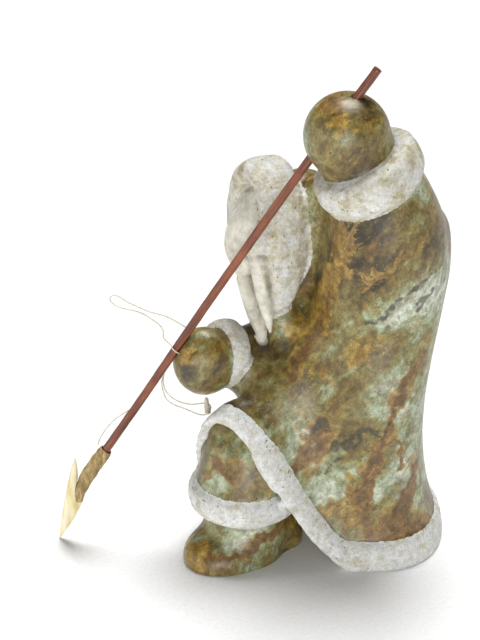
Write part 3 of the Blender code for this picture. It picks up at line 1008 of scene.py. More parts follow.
@dataclass(frozen=True)
class Soapstone:
    """Polished steatite, rubbed with fine grit and waxed: waxy and even, with soft broad highlights over a
    veined, speckled body. Its trims are tooled and left unwaxed, so they are chalky and pale, and its face is
    rubbed smooth but not waxed. A ramp's first two stops are its ends.
    """

    ior: float = 1.57
    polish: float = 0.4
    chalk: float = 0.86
    bed_axis: Triple = (0.906, -0.423, 0)
    bed_tilt: float = 38.0
    bed_squash: float = 0.5
    fold_mm: float = 22.0
    fold_reach_mm: float = 13.0
    cloud_mm: float = 30.0
    mottle_mm: float = 6.5
    seam_mm: float = 42.0
    grain_mm: float = 1.3
    speck_mm: float = 1.7
    lock_count: float = 84.0
    clouds: Stops = (
        (0.54, "#40361A"),
        (0.98, "#E9EFDC"),
        (0.6, "#5C4D26"),
        (0.65, "#7A6834"),
        (0.695, "#8E7B42"),
        (0.73, "#99884C"),
        (0.77, "#A0985F"),
        (0.81, "#AEB386"),
        (0.88, "#C9D4B6"),
    )
    golds: Stops = ((0.35, "#8C6826"), (0.65, "#D8B85C"), (0.5, "#B48E3C"))
    rusts: Stops = ((0.35, "#5E4428"), (0.65, "#B28C54"), (0.5, "#8A683C"))
    darks: Stops = ((0.35, "#2C2C20"), (0.65, "#5F5C4A"))

    def fields(self, tree: bpy.types.NodeTree) -> Fields:
        """The patterns that the stone's colours are drawn from. The large ones lie along its tilted beds,
        and one more noise folds them.

        Args:
            tree: the material's node tree.

        Returns:
            Each pattern's output by name, most of them noise about one half.
        """
        coords = add(tree, "TexCoord", {}, {}, "Object")
        tilt = {"Vector": coords, "Axis": self.bed_axis, "Angle": math.radians(self.bed_tilt)}
        bed = add(tree, "VectorRotate", {"rotation_type": "AXIS_ANGLE"}, tilt)
        bed = add(tree, "Mapping", {}, {"Vector": bed, "Scale": (1, 1, self.bed_squash)})
        noise = {"Vector": bed, "Scale": 1 / (self.fold_mm * MM), "Detail": 3}
        fold = add(tree, "TexNoise", {}, noise, "Color")
        folded = add(tree, "VectorMath", SCALED, (fold, (self.fold_reach_mm * MM,) * 3, bed))
        found = {"coords": coords}
        for name, where, size_mm, detail, rough, shift in (
            ("cloud", folded, self.cloud_mm, 9, 0.62, 0.0),
            ("hue", folded, 17, 8, 0.66, 0.31),
            ("mottle", folded, self.mottle_mm, 8, 0.7, 0.17),
            ("seam", folded, self.seam_mm, 6, 0.56, 0.53),
            ("hairline", folded, 30, 7, 0.6, 0.71),
            ("reach", coords, 55, 2, 0.5, 0.11),
            ("patch", coords, 4.2, 6, 0.66, 0.91),
            ("grain", coords, self.grain_mm, 3, 0.6, 0.0),
            ("speck", coords, self.speck_mm, 2, 0.5, 0.23),
            ("fleck", coords, self.speck_mm, 2, 0.5, 0.47),
            ("crowd", coords, 10, 3, 0.6, 0.37),
            ("blotch", coords, 12, 7, 0.68, 0.61),
            ("tooling", coords, 2.4, 7, 0.72, 0.83),
        ):
            moved = add(tree, "Mapping", {}, {"Vector": where, "Location": (shift,) * 3})
            noise = {"Vector": moved, "Scale": 1 / (size_mm * MM), "Detail": detail, "Roughness": rough}
            found[name] = add(tree, "TexNoise", {}, noise)
        for name in ("frost", "face", "fur", "recess", *(stain.value for stain in Stain)):
            found[name] = add(tree, "Attribute", {"attribute_name": name}, {}, "Fac")
        return found

    def stained(
        self, tree: bpy.types.NodeTree, colour: Socket, amount: Socket, rise: Triple, tint: Socket | str
    ) -> Socket:
        """Lays a tint over a colour where an amount is high.

        Args:
            tree: the material's node tree.
            colour: the colour underneath.
            amount: what the tint follows.
            rise: the amounts where it begins and where it is full, and how much it then covers.
            tint: the colour laid on, as a socket or in hex.

        Returns:
            The colour with the tint.
        """
        share = add(tree, "MapRange", STEP, (amount, *rise[:2], 0.0, rise[2]))
        tint = tint if isinstance(tint, Socket) else linear(tint)
        return add(tree, "Mix", COVER, {0: share, 6: colour, 7: tint}, 2)

    def polished(self, tree: bpy.types.NodeTree, fields: Fields) -> Socket:
        """The waxed stone's colour: clouds from olive to pale green, then brown and golden hues and veins.

        Args:
            tree: the material's node tree.
            fields: the patterns by name.

        Returns:
            The colour.
        """
        mottle = fields["mottle"]
        shade = add(tree, "Math", SCALED, (mottle, 0.42, fields["cloud"]))
        shade = add(tree, "Math", SCALED, (fields[Stain.PALE.value], 0.2, shade))
        colour = add(tree, "ValToRGB", {"ramp": self.clouds}, (shade,))
        ramps = (self.golds, self.rusts, self.darks)
        gold, rust, dark = (add(tree, "ValToRGB", {"ramp": stops}, (mottle,)) for stops in ramps)
        for rise, tint in (((0.55, 0.66, 0.5), gold), ((0.46, 0.36, 0.6), rust)):
            colour = self.stained(tree, colour, fields["hue"], rise, tint)
        ragged = add(tree, "Math", SCALED, (mottle, 3.2, -1.6))
        rough = add(tree, "Math", SCALED, (fields["grain"], 0.8, -0.4))
        ragged = add(tree, "Math", {"operation": "ADD"}, (ragged, rough))
        lines = {}
        for name, width, crowd, cover in (
            ("seam", 0.03, "reach", (0.53, 0.59, 0.0, 1.0)),
            ("hairline", 0.016, "crowd", (0.53, 0.58, 0.0, 0.9)),
        ):
            off = add(tree, "Math", LESS, (fields[name], 0.5))
            off = add(tree, "Math", {"operation": "ABSOLUTE"}, (off,))
            near = add(tree, "MapRange", {}, (off, 0.0, width, 0.72, 0.0))
            there = add(tree, "MapRange", STEP, (fields[crowd], *cover))
            lines[name] = add(tree, "Math", TIMES, (near, there))
        for stain, line, tear, tints in (
            (Stain.GOLD, None, 0.6, (((0.25, 0.55, 0.9), gold),)),
            (Stain.RUST, "seam", 0.75, (((0.24, 0.4, 0.85), gold), ((0.46, 0.62, 0.92), rust))),
            (Stain.DARK, "hairline", 0.25, (((0.32, 0.72, 0.8), dark),)),
        ):
            amount = fields[stain.value]
            if line:
                amount = add(tree, "Math", {"operation": "MAXIMUM"}, (amount, lines[line]))
            inside = add(tree, "MapRange", STEP, (amount, 0.02, 0.2, 0.0, tear))
            torn = add(tree, "Math", SCALED, (ragged, inside, amount))
            for rise, tint in tints:
                colour = self.stained(tree, colour, torn, rise, tint)
        return colour

    def specked(self, tree: bpy.types.NodeTree, fields: Fields, colour: Socket, grit: float) -> Socket:
        """Adds the grain of the stone, its black specks, which gather in crowds, and its pale flecks.

        Args:
            tree: the material's node tree.
            fields: the patterns by name.
            colour: the colour that they are added to.
            grit: how strong the grain is, up to one.

        Returns:
            The colour with them.
        """
        for name, stops in (
            ("grain", ((0.3, "#C4C4C4"), (0.7, "#FFFFFF"))),
            ("patch", ((0.38, "#A29E88"), (0.6, "#FFFFFF"))),
        ):
            shade = add(tree, "ValToRGB", {"ramp": stops}, (fields[name],))
            colour = add(tree, "Mix", DARKEN, {0: grit, 6: colour, 7: shade}, 2)
        crowd = add(tree, "MapRange", STEP, (fields["crowd"], 0.42, 0.6, 0.0, 0.9))
        calm = add(tree, "Math", SCALED, (fields["face"], -0.85, 1.0))
        crowd = add(tree, "Math", TIMES, (crowd, calm))
        for name, low, high, share, tint in (
            ("fleck", 0.64, 0.74, 0.2, "#CFC89C"),
            ("speck", 0.645, 0.7, crowd, "#2B3029"),
        ):
            found = add(tree, "MapRange", STEP, (fields[name], low, high, 0.0, 1.0))
            found = add(tree, "Math", TIMES, (found, share))
            colour = add(tree, "Mix", COVER, {0: found, 6: colour, 7: linear(tint)}, 2)
        return colour

    def chalky(self, tree: bpy.types.NodeTree, fields: Fields) -> Socket:
        """The unwaxed trims' colour, with warm, yellow and cool blotches and a rust seam, yellower on the
        upper trims that hands touch, and the smoother face's.

        Args:
            tree: the material's node tree.
            fields: the patterns by name.

        Returns:
            The colour.
        """
        stops = ((0.28, "#C6C5BE"), (0.72, "#FCFCFB"), (0.42, "#E2E1DC"), (0.56, "#F2F2EF"))
        colour = add(tree, "ValToRGB", {"ramp": stops}, (fields["tooling"],))
        seam = add(tree, "Math", SCALED, (fields["mottle"], 1.2, fields[Stain.TRIM_RUST.value]))
        for amount, rise, tint in (
            (fields["blotch"], (0.53, 0.64, 0.7), "#CFC9B2"),
            (fields["blotch"], (0.47, 0.36, 0.7), "#E6ECF0"),
            (fields["mottle"], (0.56, 0.66, 0.65), "#DCD2A0"),
            (fields["hue"], (0.56, 0.66, 0.5), "#B9B5A4"),
            (seam, (1.0, 1.2, 0.8), "#A8763C"),
        ):
            colour = self.stained(tree, colour, amount, rise, tint)
        height = add(tree, "SeparateXYZ", {}, (fields["coords"],), 2)
        handled = add(tree, "MapRange", {}, (height, 110 * MM, 150 * MM, 0.0, 1.0))
        worn = add(tree, "MapRange", STEP, (fields["blotch"], 0.3, 0.68, 0.0, 1.0))
        handled = add(tree, "Math", TIMES, (handled, worn))
        colour = add(tree, "Mix", DARKEN, {0: handled, 6: colour, 7: linear("#DAD4BF")}, 2)
        stops = ((0.34, "#CFCBBC"), (0.66, "#F6F3E6"), (0.5, "#E5E1D2"))
        smooth = add(tree, "ValToRGB", {"ramp": stops}, (fields["blotch"],))
        return add(tree, "Mix", COVER, {0: fields["face"], 6: colour, 7: smooth}, 2)

    def locks(self, tree: bpy.types.NodeTree, fields: Fields) -> Socket:
        """Scratched locks of fur on the ruff: the sine of many times the angle round it, in its own axes.

        Args:
            tree: the material's node tree.
            fields: the patterns by name.

        Returns:
            The scratches' height, from minus one to one.
        """
        wide, deep = (radius * MM for radius in RUFF.radii)
        ruff = {
            "Vector": fields["coords"],
            "Location": tuple(c * MM for c in RUFF.centre),
            "Rotation": tuple(Matrix(RUFF.rotation().tolist()).to_euler()),
            "Scale": (wide, deep, wide),
        }
        own = add(tree, "Mapping", {"vector_type": "TEXTURE"}, ruff)
        x, y, z = add(tree, "SeparateXYZ", {}, (own,)).node.outputs
        angle = add(tree, "Math", {"operation": "ARCTAN2"}, (y, x))
        bend = add(tree, "Math", SCALED, (fields["blotch"], 14.0, z))
        angle = add(tree, "Math", SCALED, (angle, self.lock_count, bend))
        wave = add(tree, "Math", {"operation": "SINE"}, (angle,))
        return add(tree, "Math", TIMES, (wave, fields["fur"]))

    def material(self) -> bpy.types.Material:
        """Joins the waxed and the chalky stone where frost and tooling meet, and paints shade into the
        recesses.

        Returns:
            The material.
        """
        made, tree, shader = new_material("veined_soapstone")
        fields = self.fields(tree)
        edge = add(tree, "Math", SCALED, (fields["tooling"], 0.5, fields["frost"]))
        frosted = add(tree, "MapRange", STEP, (edge, 0.66, 0.84, 0.0, 1.0))
        waxed = self.specked(tree, fields, self.polished(tree, fields), 0.75)
        chalk = self.specked(tree, fields, self.chalky(tree, fields), 0.3)
        colour = add(tree, "Mix", COVER, {0: frosted, 6: waxed, 7: chalk}, 2)
        # Painted shade: the colour is darkened towards #5E5648 where the recess mask is high, as shade in the
        # hollows and creases.
        painted_shade = add(tree, "MapRange", STEP, (fields["recess"], 0.15, 1.0, 0.0, 0.6))
        colour = add(tree, "Mix", DARKEN, {0: painted_shade, 6: colour, 7: linear("#5E5648")}, 2)
        rough = add(tree, "MapRange", {}, (frosted, 0.0, 1.0, self.polish, self.chalk))
        rough = add(tree, "Math", SCALED, (fields["mottle"], 0.3, rough))
        rough = add(tree, "Math", LESS, (rough, 0.15))
        height = add(tree, "Math", SCALED, (fields["tooling"], 1.6, fields["grain"]))
        height = add(tree, "Math", SCALED, (self.locks(tree, fields), 0.3, height))
        depth = add(tree, "MapRange", {}, (frosted, 0.0, 1.0, 0.05, 0.55))
        calm = add(tree, "Math", SCALED, (fields["face"], -0.6, 1.0))
        depth = add(tree, "Math", TIMES, (depth, calm))
        bump = add(tree, "Bump", {}, {"Strength": depth, "Distance": 0.5 * MM, "Height": height})
        connect(shader, {"Base Color": colour, "Roughness": rough, "IOR": self.ior, "Normal": bump})
        return made


@dataclass(frozen=True)
class ShaftWood:
    """Hardwood dowel, sanded and varnished reddish brown: a clear gloss over fine grain along its length."""

    axis: Triple
    roughness: float = 0.34
    grain_mm: float = 1.1
    wear_mm: float = 16.0
    browns: Stops = ((0.3, "#4C2210"), (0.72, "#A0562C"), (0.48, "#6E351B"), (0.58, "#834323"))

    def material(self) -> bpy.types.Material:
        """Stretched noise along the shaft between browns, with paler worn places.

        Returns:
            The material.
        """
        made, tree, shader = new_material("varnished_hardwood")
        coords = add(tree, "TexCoord", {}, {}, "Object")
        turn = tuple(Vector(self.axis).rotation_difference(UP).to_euler())
        inputs = {"Vector": coords, "Rotation": turn}
        along = add(tree, "VectorRotate", {"rotation_type": "EULER_XYZ"}, inputs)
        grain = add(tree, "Mapping", {}, {"Vector": along, "Scale": (1, 1, 0.06)})
        noise = {"Vector": grain, "Scale": 1 / (self.grain_mm * MM), "Detail": 6, "Roughness": 0.6}
        fibre = add(tree, "TexNoise", {}, noise)
        wood = add(tree, "ValToRGB", {"ramp": self.browns}, (fibre,))
        worn = add(tree, "TexNoise", {}, {"Vector": along, "Scale": 1 / (self.wear_mm * MM), "Detail": 4})
        fade = add(tree, "MapRange", {}, (worn, 0.5, 0.72, 0.0, 0.45))
        tone = add(tree, "Mix", COVER, {0: fade, 6: wood, 7: linear("#AC6438")}, 2)
        bump = add(tree, "Bump", {}, {"Strength": 0.25, "Distance": 0.2 * MM, "Height": fibre})
        gloss = {"Roughness": self.roughness, "Coat Weight": 0.35}
        connect(shader, {"Base Color": tone, "Normal": bump, **gloss})
        return made


@dataclass(frozen=True)
class Antler:
    """Caribou antler, scraped to shape: matt brown-grey with pale streaks and open pores."""

    roughness: float = 0.62
    streak_mm: float = 3.5
    pore_mm: float = 1.0
    browns: Stops = ((0.3, "#6A5434"), (0.7, "#D2BC8E"), (0.46, "#93794A"), (0.56, "#AF9562"))

    def material(self) -> bpy.types.Material:
        """Streaky noise between brown and bone, with dark pores sunk in.

        Returns:
            The material.
        """
        made, tree, shader = new_material("scraped_antler")
        coords = add(tree, "TexCoord", {}, {}, "Object")
        inputs = {"Vector": coords, "Rotation": (-0.9, 0.3, 0.2), "Scale": (1, 1, 0.4)}
        streaky = add(tree, "Mapping", {}, inputs)
        noise = {"Vector": streaky, "Scale": 1 / (self.streak_mm * MM), "Detail": 7, "Roughness": 0.68}
        streaks = add(tree, "TexNoise", {}, noise)
        tone = add(tree, "ValToRGB", {"ramp": self.browns}, (streaks,))
        pores = add(tree, "TexVoronoi", {}, {"Vector": coords, "Scale": 1 / (self.pore_mm * MM)}, "Distance")
        hole = add(tree, "MapRange", {}, (pores, 0.12, 0.3, 0.6, 0.0))
        tone = add(tree, "Mix", COVER, {0: hole, 6: tone, 7: linear("#463825")}, 2)
        height = add(tree, "Math", SCALED, (pores, 0.8, streaks))
        bump = add(tree, "Bump", {}, {"Strength": 0.55, "Distance": 0.4 * MM, "Height": height})
        connect(shader, {"Base Color": tone, "Normal": bump, "Roughness": self.roughness})
        return made


@dataclass(frozen=True)
class Horn:
    """Pale horn, filed and polished thin: light passes through its edges, and faint layers run along it."""

    roughness: float = 0.33
    layer_mm: float = 3.0
    creams: Stops = ((0.3, "#D2BC78"), (0.72, "#F6F0D8"), (0.5, "#E8DCAE"))

    def material(self) -> bpy.types.Material:
        """Layers of cream and straw, with light scattered under the surface.

        Returns:
            The material.
        """
        made, tree, shader = new_material("polished_horn")
        coords = add(tree, "TexCoord", {}, {}, "Object")
        layered = add(tree, "Mapping", {}, {"Vector": coords, "Scale": (1, 1, 0.18)})
        noise = {"Vector": layered, "Scale": 1 / (self.layer_mm * MM), "Detail": 5}
        layers = add(tree, "TexNoise", {}, noise)
        tone = add(tree, "ValToRGB", {"ramp": self.creams}, (layers,))
        bump = add(tree, "Bump", {}, {"Strength": 0.12, "Distance": 0.2 * MM, "Height": layers})
        glow = {"Weight": 0.35, "Radius": (1.0, 0.75, 0.4), "Scale": 2.5 * MM}
        connect(shader, {"Subsurface " + name: value for name, value in glow.items()})
        connect(shader, {"Base Color": tone, "Normal": bump, "Roughness": self.roughness})
        return made


@dataclass(frozen=True)
class Sinew:
    """Dried sinew, split and twisted in two plies: dull off-white with yellowed fibres."""

    roughness: float = 0.74
    fibre_mm: tuple[float, float] = (2.5, 0.35)
    creams: Stops = ((0.3, "#A89F84"), (0.7, "#EDE9DA"), (0.5, "#D2CBB4"))

    def material(self) -> bpy.types.Material:
        """Fibre noise along the cord's own map.

        Returns:
            The material.
        """
        made, tree, shader = new_material("twisted_sinew")
        along = add(tree, "UVMap", {"uv_map": "length"}, {})
        scale = (*(1 / (size * MM) for size in self.fibre_mm), 1)
        fibres = add(tree, "Mapping", {}, {"Vector": along, "Scale": scale})
        noise = add(tree, "TexNoise", {}, {"Vector": fibres, "Scale": 1.0, "Detail": 4})
        tone = add(tree, "ValToRGB", {"ramp": self.creams}, (noise,))
        bump = add(tree, "Bump", {}, {"Strength": 0.3, "Distance": 0.1 * MM, "Height": noise})
        connect(shader, {"Base Color": tone, "Normal": bump, "Roughness": self.roughness})
        return made


@dataclass
class Harpoon:
    """The harpoon: a bowed wooden shaft in an antler foreshaft, whose end sits in a horn head. The bow's
    rows are shares of the shaft's length and how far it stands off its straight line. The head's are the
    distance up from the point, the far and the near edge, and half the thickness.
    """

    butt: Vector = field(default_factory=lambda: Vector((21.4, -6.1, 305.6)))
    foot: Vector = field(default_factory=lambda: Vector((-36.8, -153.4, 63.7)))
    point: Vector = field(default_factory=lambda: Vector((-48.4, -181.9, 0.2)))
    diameter: float = 5.2
    clearance: float = 0.35
    socket_depth: float = 9.0
    rim_radius: float = 3.9
    waist_radius: float = 4.3
    waist_drop: float = 11.0
    top: float = 307.0
    step: float = 1.5
    sanding: float = 0.012
    wear: float = 0.03
    scraping: tuple[float, float] = (0.16, 0.07)
    lens: tuple[float, float] = (0.9, 1.25)
    filed_angle: float = 50.0
    sides: int = 48
    bow: Joints = (
        (0, 0), (0.14, 0.25), (0.36, 1.45), (0.49, 1.75), (0.66, 1.95), (0.8, 1.7), (0.96, 0.15), (1, 0),
    )
    bend: Joints = ((-41.0, -166.0, 43.0, 4.4), (-42.5, -169.2, 34.3, 3.5), (-42.8, -169.9, 27.7, 2.3))
    head_sections: Joints = (
        (0, 0.5, -0.3, 0.4), (6, 2.6, -1.2, 1.2), (18, 6.1, -2.4, 2.2), (30, 9.5, -2.2, 2.7),
        (34, 10.4, -0.8, 2.7), (38.5, 11.5, 2.5, 2.5), (45, 13.1, 7.3, 2.0), (49, 13.9, 9.3, 1.6),
        (54, 14.8, 12.2, 1.1), (57.5, 15.3, 14.6, 0.4),
    )

    def axes(self) -> tuple[Vector, Vector]:
        """The shaft's axis from foot to butt, and the way that it bows."""
        axis = (self.butt - self.foot).normalized()
        return axis, (UP - axis * axis.z).normalized()

    def shaft_place(self, share: float) -> Vector:
        """A place on the bowed shaft, at a share of its length from its foot."""
        shares, bows = zip(*self.bow)
        return self.foot.lerp(self.butt, share) + self.axes()[1] * float(np.interp(share, shares, bows))

    def shaft_path(self, extra: float = 0.0) -> Array:
        """The shaft's centre line, from the socket's floor to its butt.

        Args:
            extra: how much further it goes at both ends.

        Returns:
            Its points, one a row.
        """
        axis, _ = self.axes()
        low = np.array(self.foot - axis * (self.socket_depth + extra))
        middle = smooth_path([tuple(self.shaft_place(share)) for share, _ in self.bow], 12)
        return np.vstack([low, middle, np.array(self.butt + axis * max(extra, 0.1))])

    def shaft(self) -> bpy.types.Object:
        """Circles along the path, with hand-sanded waves in the radius and eased ends.

        Returns:
            The shaft.
        """
        path = spaced(self.shaft_path(), self.step)
        along = np.linspace(0, 1, len(path))
        radii = self.diameter / 2 * (0.985 + self.sanding * np.sin(along * 41) * np.sin(along * 17 + 1))
        rows = tube_rows(path, radii, 40)
        worn = ripple(rows.reshape(-1, 3), 7, 3).reshape(rows.shape[:2]) * self.wear
        rows = path[:, None] + (rows - path[:, None]) * (1 + worn / radii[:, None])[..., None]
        ends = []
        for end, near in ((0, 1), (-1, -2)):
            out = unit(path[end] - path[near])
            ring = rows[end] - path[end]
            ends.append([path[end] + ring * share + out * step for share, step in ((0.93, 0.12), (0.8, 0.2))])
        rows = np.concatenate([np.stack(ends[0][::-1]), rows, np.stack(ends[1])])
        rows[..., 2] = rows[..., 2].clip(None, self.top)
        return place("harpoon_shaft_wood", mesh_of("harpoon_shaft_wood", [skin(rows)]))

    def foreshaft_line(self) -> Array:
        """The foreshaft's centre line and radii, from its rim down to its end in the head."""
        waist = self.foot - self.axes()[0] * self.waist_drop
        return smooth_path([(*self.foot, self.rim_radius), (*waist, self.waist_radius), *self.bend], 12)

    def foreshaft(self) -> bpy.types.Object:
        """Circles down the outside from rim to end, pushed in and out by ripples of scraping. Inside is a
        socket as deep as the shaft goes in.

        Returns:
            The foreshaft.
        """
        axis, foot = np.array(self.axes()[0]), np.array(self.foot)
        outer = self.foreshaft_line()
        outer[0, 3] -= 0.25
        bore = self.diameter / 2 + self.clearance
        depths = np.array([self.socket_depth, self.socket_depth * 0.5, 0.6, 0.0])
        inner = foot - axis * depths[:, None]
        rim_rows = tube_rows(inner, np.array([bore - 0.2, bore, bore, bore + 0.2]), self.sides)
        rows = tube_rows(outer[:, :3], outer[:, 3], self.sides)
        first, start = rows[0] - outer[0, :3], rim_rows[-1] - inner[-1]
        lead = int(np.argmax(first @ start[0]))
        rows = np.roll(rows, -lead, axis=1)
        quarter = self.sides // 4
        if np.roll(first, -lead, axis=0)[quarter] @ start[quarter] < 0:
            rows = np.roll(rows[:, ::-1], 1, axis=1)
        flat = rows.reshape(-1, 3)
        broad, fine = self.scraping
        scraped = ripple(flat * (1, 1, 0.6), 4.2, 5) * broad + ripple(flat, 2.2, 6) * fine
        centre = outer[:, None, :3]
        away = rows - centre
        size = np.linalg.norm(away, axis=-1, keepdims=True)
        rows = centre + away * (1 + scraped.reshape(rows.shape[:2])[..., None] / size)
        tip = outer[-1, :3] + (rows[-1] - outer[-1, :3]) * 0.6 + (outer[-1, :3] - outer[-2, :3]) * 0.6
        whole = skin(np.concatenate([rim_rows, rows, tip[None]]))
        return place("antler_foreshaft", mesh_of("antler_foreshaft", [whole]))

    def head(self) -> bpy.types.Object:
        """Lens-shaped sections up from the point into the barb: the far and near edges and the thickness each
        run smoothly from section to section. The foreshaft's end is cut out of it.

        Returns:
            The head.
        """
        upward = (self.foot - self.point).normalized()
        across = (UP - upward * upward.z).normalized()
        flat, upward, across = (np.array(way) for way in (upward.cross(across), upward, across))
        table = smooth_path(self.head_sections, 8)
        turn = all_round(self.sides)[None]
        middle, half = (table[:, 1:2] + table[:, 2:3]) / 2, (table[:, 1:2] - table[:, 2:3]) / 2
        side = middle + shaped(np.cos(turn), self.lens[0]) * half
        thick = shaped(np.sin(turn), self.lens[1]) * table[:, 3:4]
        rows = np.array(self.point) + upward * table[:, 0, None, None]
        rows = rows + across * side[..., None] + flat * thick[..., None]
        obj = place("horn_head", mesh_of("horn_head", [skin(rows)]))
        pocket = self.foreshaft_line()
        pocket[:, 3] += self.clearance
        end = pocket[-1, :3] + (pocket[-1, :3] - pocket[-2, :3]) * 0.5
        pocket = np.vstack([pocket, [*end, pocket[-1, 3] - 0.3]])
        carve(obj, [mesh_of("pocket", [skin(tube_rows(pocket[:, :3], pocket[:, 3], 32))])])
        return obj

    def build(self) -> None:
        """Makes the three pieces, each in the place of its CAD node, with the head's edges kept sharp."""
        wood = ShaftWood(tuple(self.axes()[0]))
        show(self.shaft(), "harpoon_shaft", wood.material())
        show(self.foreshaft(), "foreshaft", Antler().material())
        head = self.head()
        show(head, "harpoon_head", Horn().material())
        head.data.set_sharp_from_angle(angle=math.radians(self.filed_angle))


@dataclass
class SinewLines:
    """The harpoon line, the line that hangs from the lower mitten's grip, and its knotted tag. The run and
    the tie are shares of the shaft's length.
    """

    harpoon: Harpoon
    diameter: float = 0.9
    clearance: float = 0.4
    slack: float = 0.25
    twist_pitch: float = 3.4
    step: float = 0.42
    bow: Joints = (
        (-39.6, -157.6, 66.4), (-39.4, -155.8, 71.4), (-38.0, -152.0, 78.0), (-36.2, -147.6, 83.6),
        (-34.9, -143.3, 86.9),
    )
    run: tuple[float, ...] = (0.115, 0.15, 0.2, 0.245)
    tie: float = 0.28
    tie_width: float = 0.005
    ply_depth: float = 0.16
    wraps: int = 7
    loop: Joints = (
        (-24.6, -119.0, 139.4), (-24.0, -119.4, 144.0), (-24.2, -121.4, 148.4), (-25.6, -125.3, 152.2),
        (-27.5, -130.0, 156.0), (-29.7, -134.6, 158.2), (-32.7, -141.1, 160.0), (-35.0, -145.4, 162.2),
        (-36.4, -147.6, 165.4), (-35.2, -146.4, 168.4), (-33.4, -143.0, 167.8), (-31.6, -138.8, 164.4),
        (-29.4, -133.0, 160.8), (-27.2, -125.6, 156.6), (-25.6, -117.2, 153.0), (-24.9, -111.2, 148.6),
        (-24.4, -107.2, 145.4), (-23.9, -103.6, 142.4),
    )
    grip: Joints = (
        (-27.1, -116.4, 118.4), (-27.9, -117.9, 112.7), (-28.5, -119.2, 107.3), (-27.7, -118.6, 100.6),
        (-26.3, -116.8, 95.2), (-23.9, -112.7, 91.8), (-21.6, -107.9, 89.6), (-19.6, -103.6, 87.2),
        (-17.9, -99.6, 85.2), (-16.6, -96.4, 84.9), (-16.0, -93.6, 86.6), (-17.6, -92.0, 89.4),
        (-19.6, -94.6, 91.0), (-20.6, -98.6, 91.0), (-21.6, -102.4, 91.0), (-23.4, -106.2, 91.6),
        (-25.6, -110.2, 93.2), (-28.0, -113.8, 96.0), (-30.2, -116.4, 100.2), (-30.9, -117.2, 106.0),
        (-30.3, -116.6, 112.0), (-29.0, -115.2, 117.0),
    )
    tag: Joints = ((-15.9, -95.6, 97.2, 1.3), (-14.7, -95.8, 92.0, 1.8), (-13.5, -95.6, 87.0, 2.3))

    def beside_shaft(self, share: float, degrees: float) -> Triple:
        """A place beside the shaft where the line lies: out from its middle by both radii and a little slack.

        Args:
            share: how far up the shaft, as a share of its length.
            degrees: how far round it, from its upper side to the left.

        Returns:
            The place.
        """
        axis, upward = self.harpoon.axes()
        reach = self.harpoon.diameter / 2 + self.clearance + self.slack + self.diameter / 2
        turn = math.radians(degrees)
        way = upward * math.cos(turn) + axis.cross(upward) * math.sin(turn)
        return tuple(self.harpoon.shaft_place(share) + way * reach)

    def harpoon_route(self) -> Array:
        """The harpoon line's way: off the foreshaft, up behind the shaft, round it, out in a loop and back.

        Returns:
            Its points, one a row.
        """
        run = [self.beside_shaft(share, -90) for share in self.run]
        spots = [i / 8 for i in range(9)]
        tie = [self.beside_shaft(self.tie + self.tie_width * (s - 0.5), -90 - 270 * s) for s in spots]
        return spaced(smooth_path([*self.bow, *run, *tie, *self.loop], 12), self.step)

    def grip_route(self) -> Array:
        """The grip line's way: down from the shaft under the mitten, through the tag and back."""
        return spaced(smooth_path(self.grip, 12), self.step)

    def twisted(self, name: str, path: Array) -> bpy.types.Object:
        """A two-ply cord: its radius round the path is a mean plus a share of the cosine of twice the angle,
        which turns once a pitch.

        Args:
            name: the piece's name.
            path: its centre line.

        Returns:
            The cord.
        """
        sides, length = 14, path_length(path)
        along = np.arange(len(path)) * length / (len(path) - 1)
        ply = np.cos(2 * (all_round(sides)[None] - along[:, None] * FULL_TURN / self.twist_pitch))
        radii = self.diameter / 2 * (1 - self.ply_depth + self.ply_depth * ply)
        mesh = mesh_of(name, [skin(tube_rows(path, radii, sides))])
        map_tube(mesh, len(path), sides, (length * MM, math.pi * self.diameter * MM))
        return place(name, mesh)

    def knot(self) -> bpy.types.Object:
        """A wrapped tag: a swelling limb whose radius waves with the wraps that wind up it.

        Returns:
            The tag.
        """
        sides = 36
        path = spaced(smooth_path(self.tag, 12), 0.3)
        along, turn = np.linspace(0, 1, len(path)), all_round(sides)[None]
        wound = np.cos(along[:, None] * FULL_TURN * self.wraps - turn)
        swell = path[:, 3:4] * (0.86 + 0.11 * wound + 0.05 * np.cos(3 * turn + along[:, None] * 9))
        swell *= (0.55 + 0.45 * ease(np.minimum(along, 1 - along), 0, 0.09))[:, None]
        mesh = mesh_of("sinew_tag", [skin(tube_rows(path[:, :3], swell, sides))])
        map_tube(mesh, len(path), sides, (11 * MM, 12 * MM))
        return place("sinew_tag", mesh)

    def build(self) -> None:
        sinew = Sinew().material()
        tag = self.knot()
        show(tag, "line_knot", sinew)
        for name, node, path, on_it in (
            ("sinew_harpoon_line", "harpoon_line", self.harpoon_route(), ()),
            ("sinew_grip_line", "grip_line", self.grip_route(), (tag,)),
        ):
            line = self.twisted(name, path)
            show(line, node, sinew)
            log.info("%s: %.0f mm long", name, path_length(path))


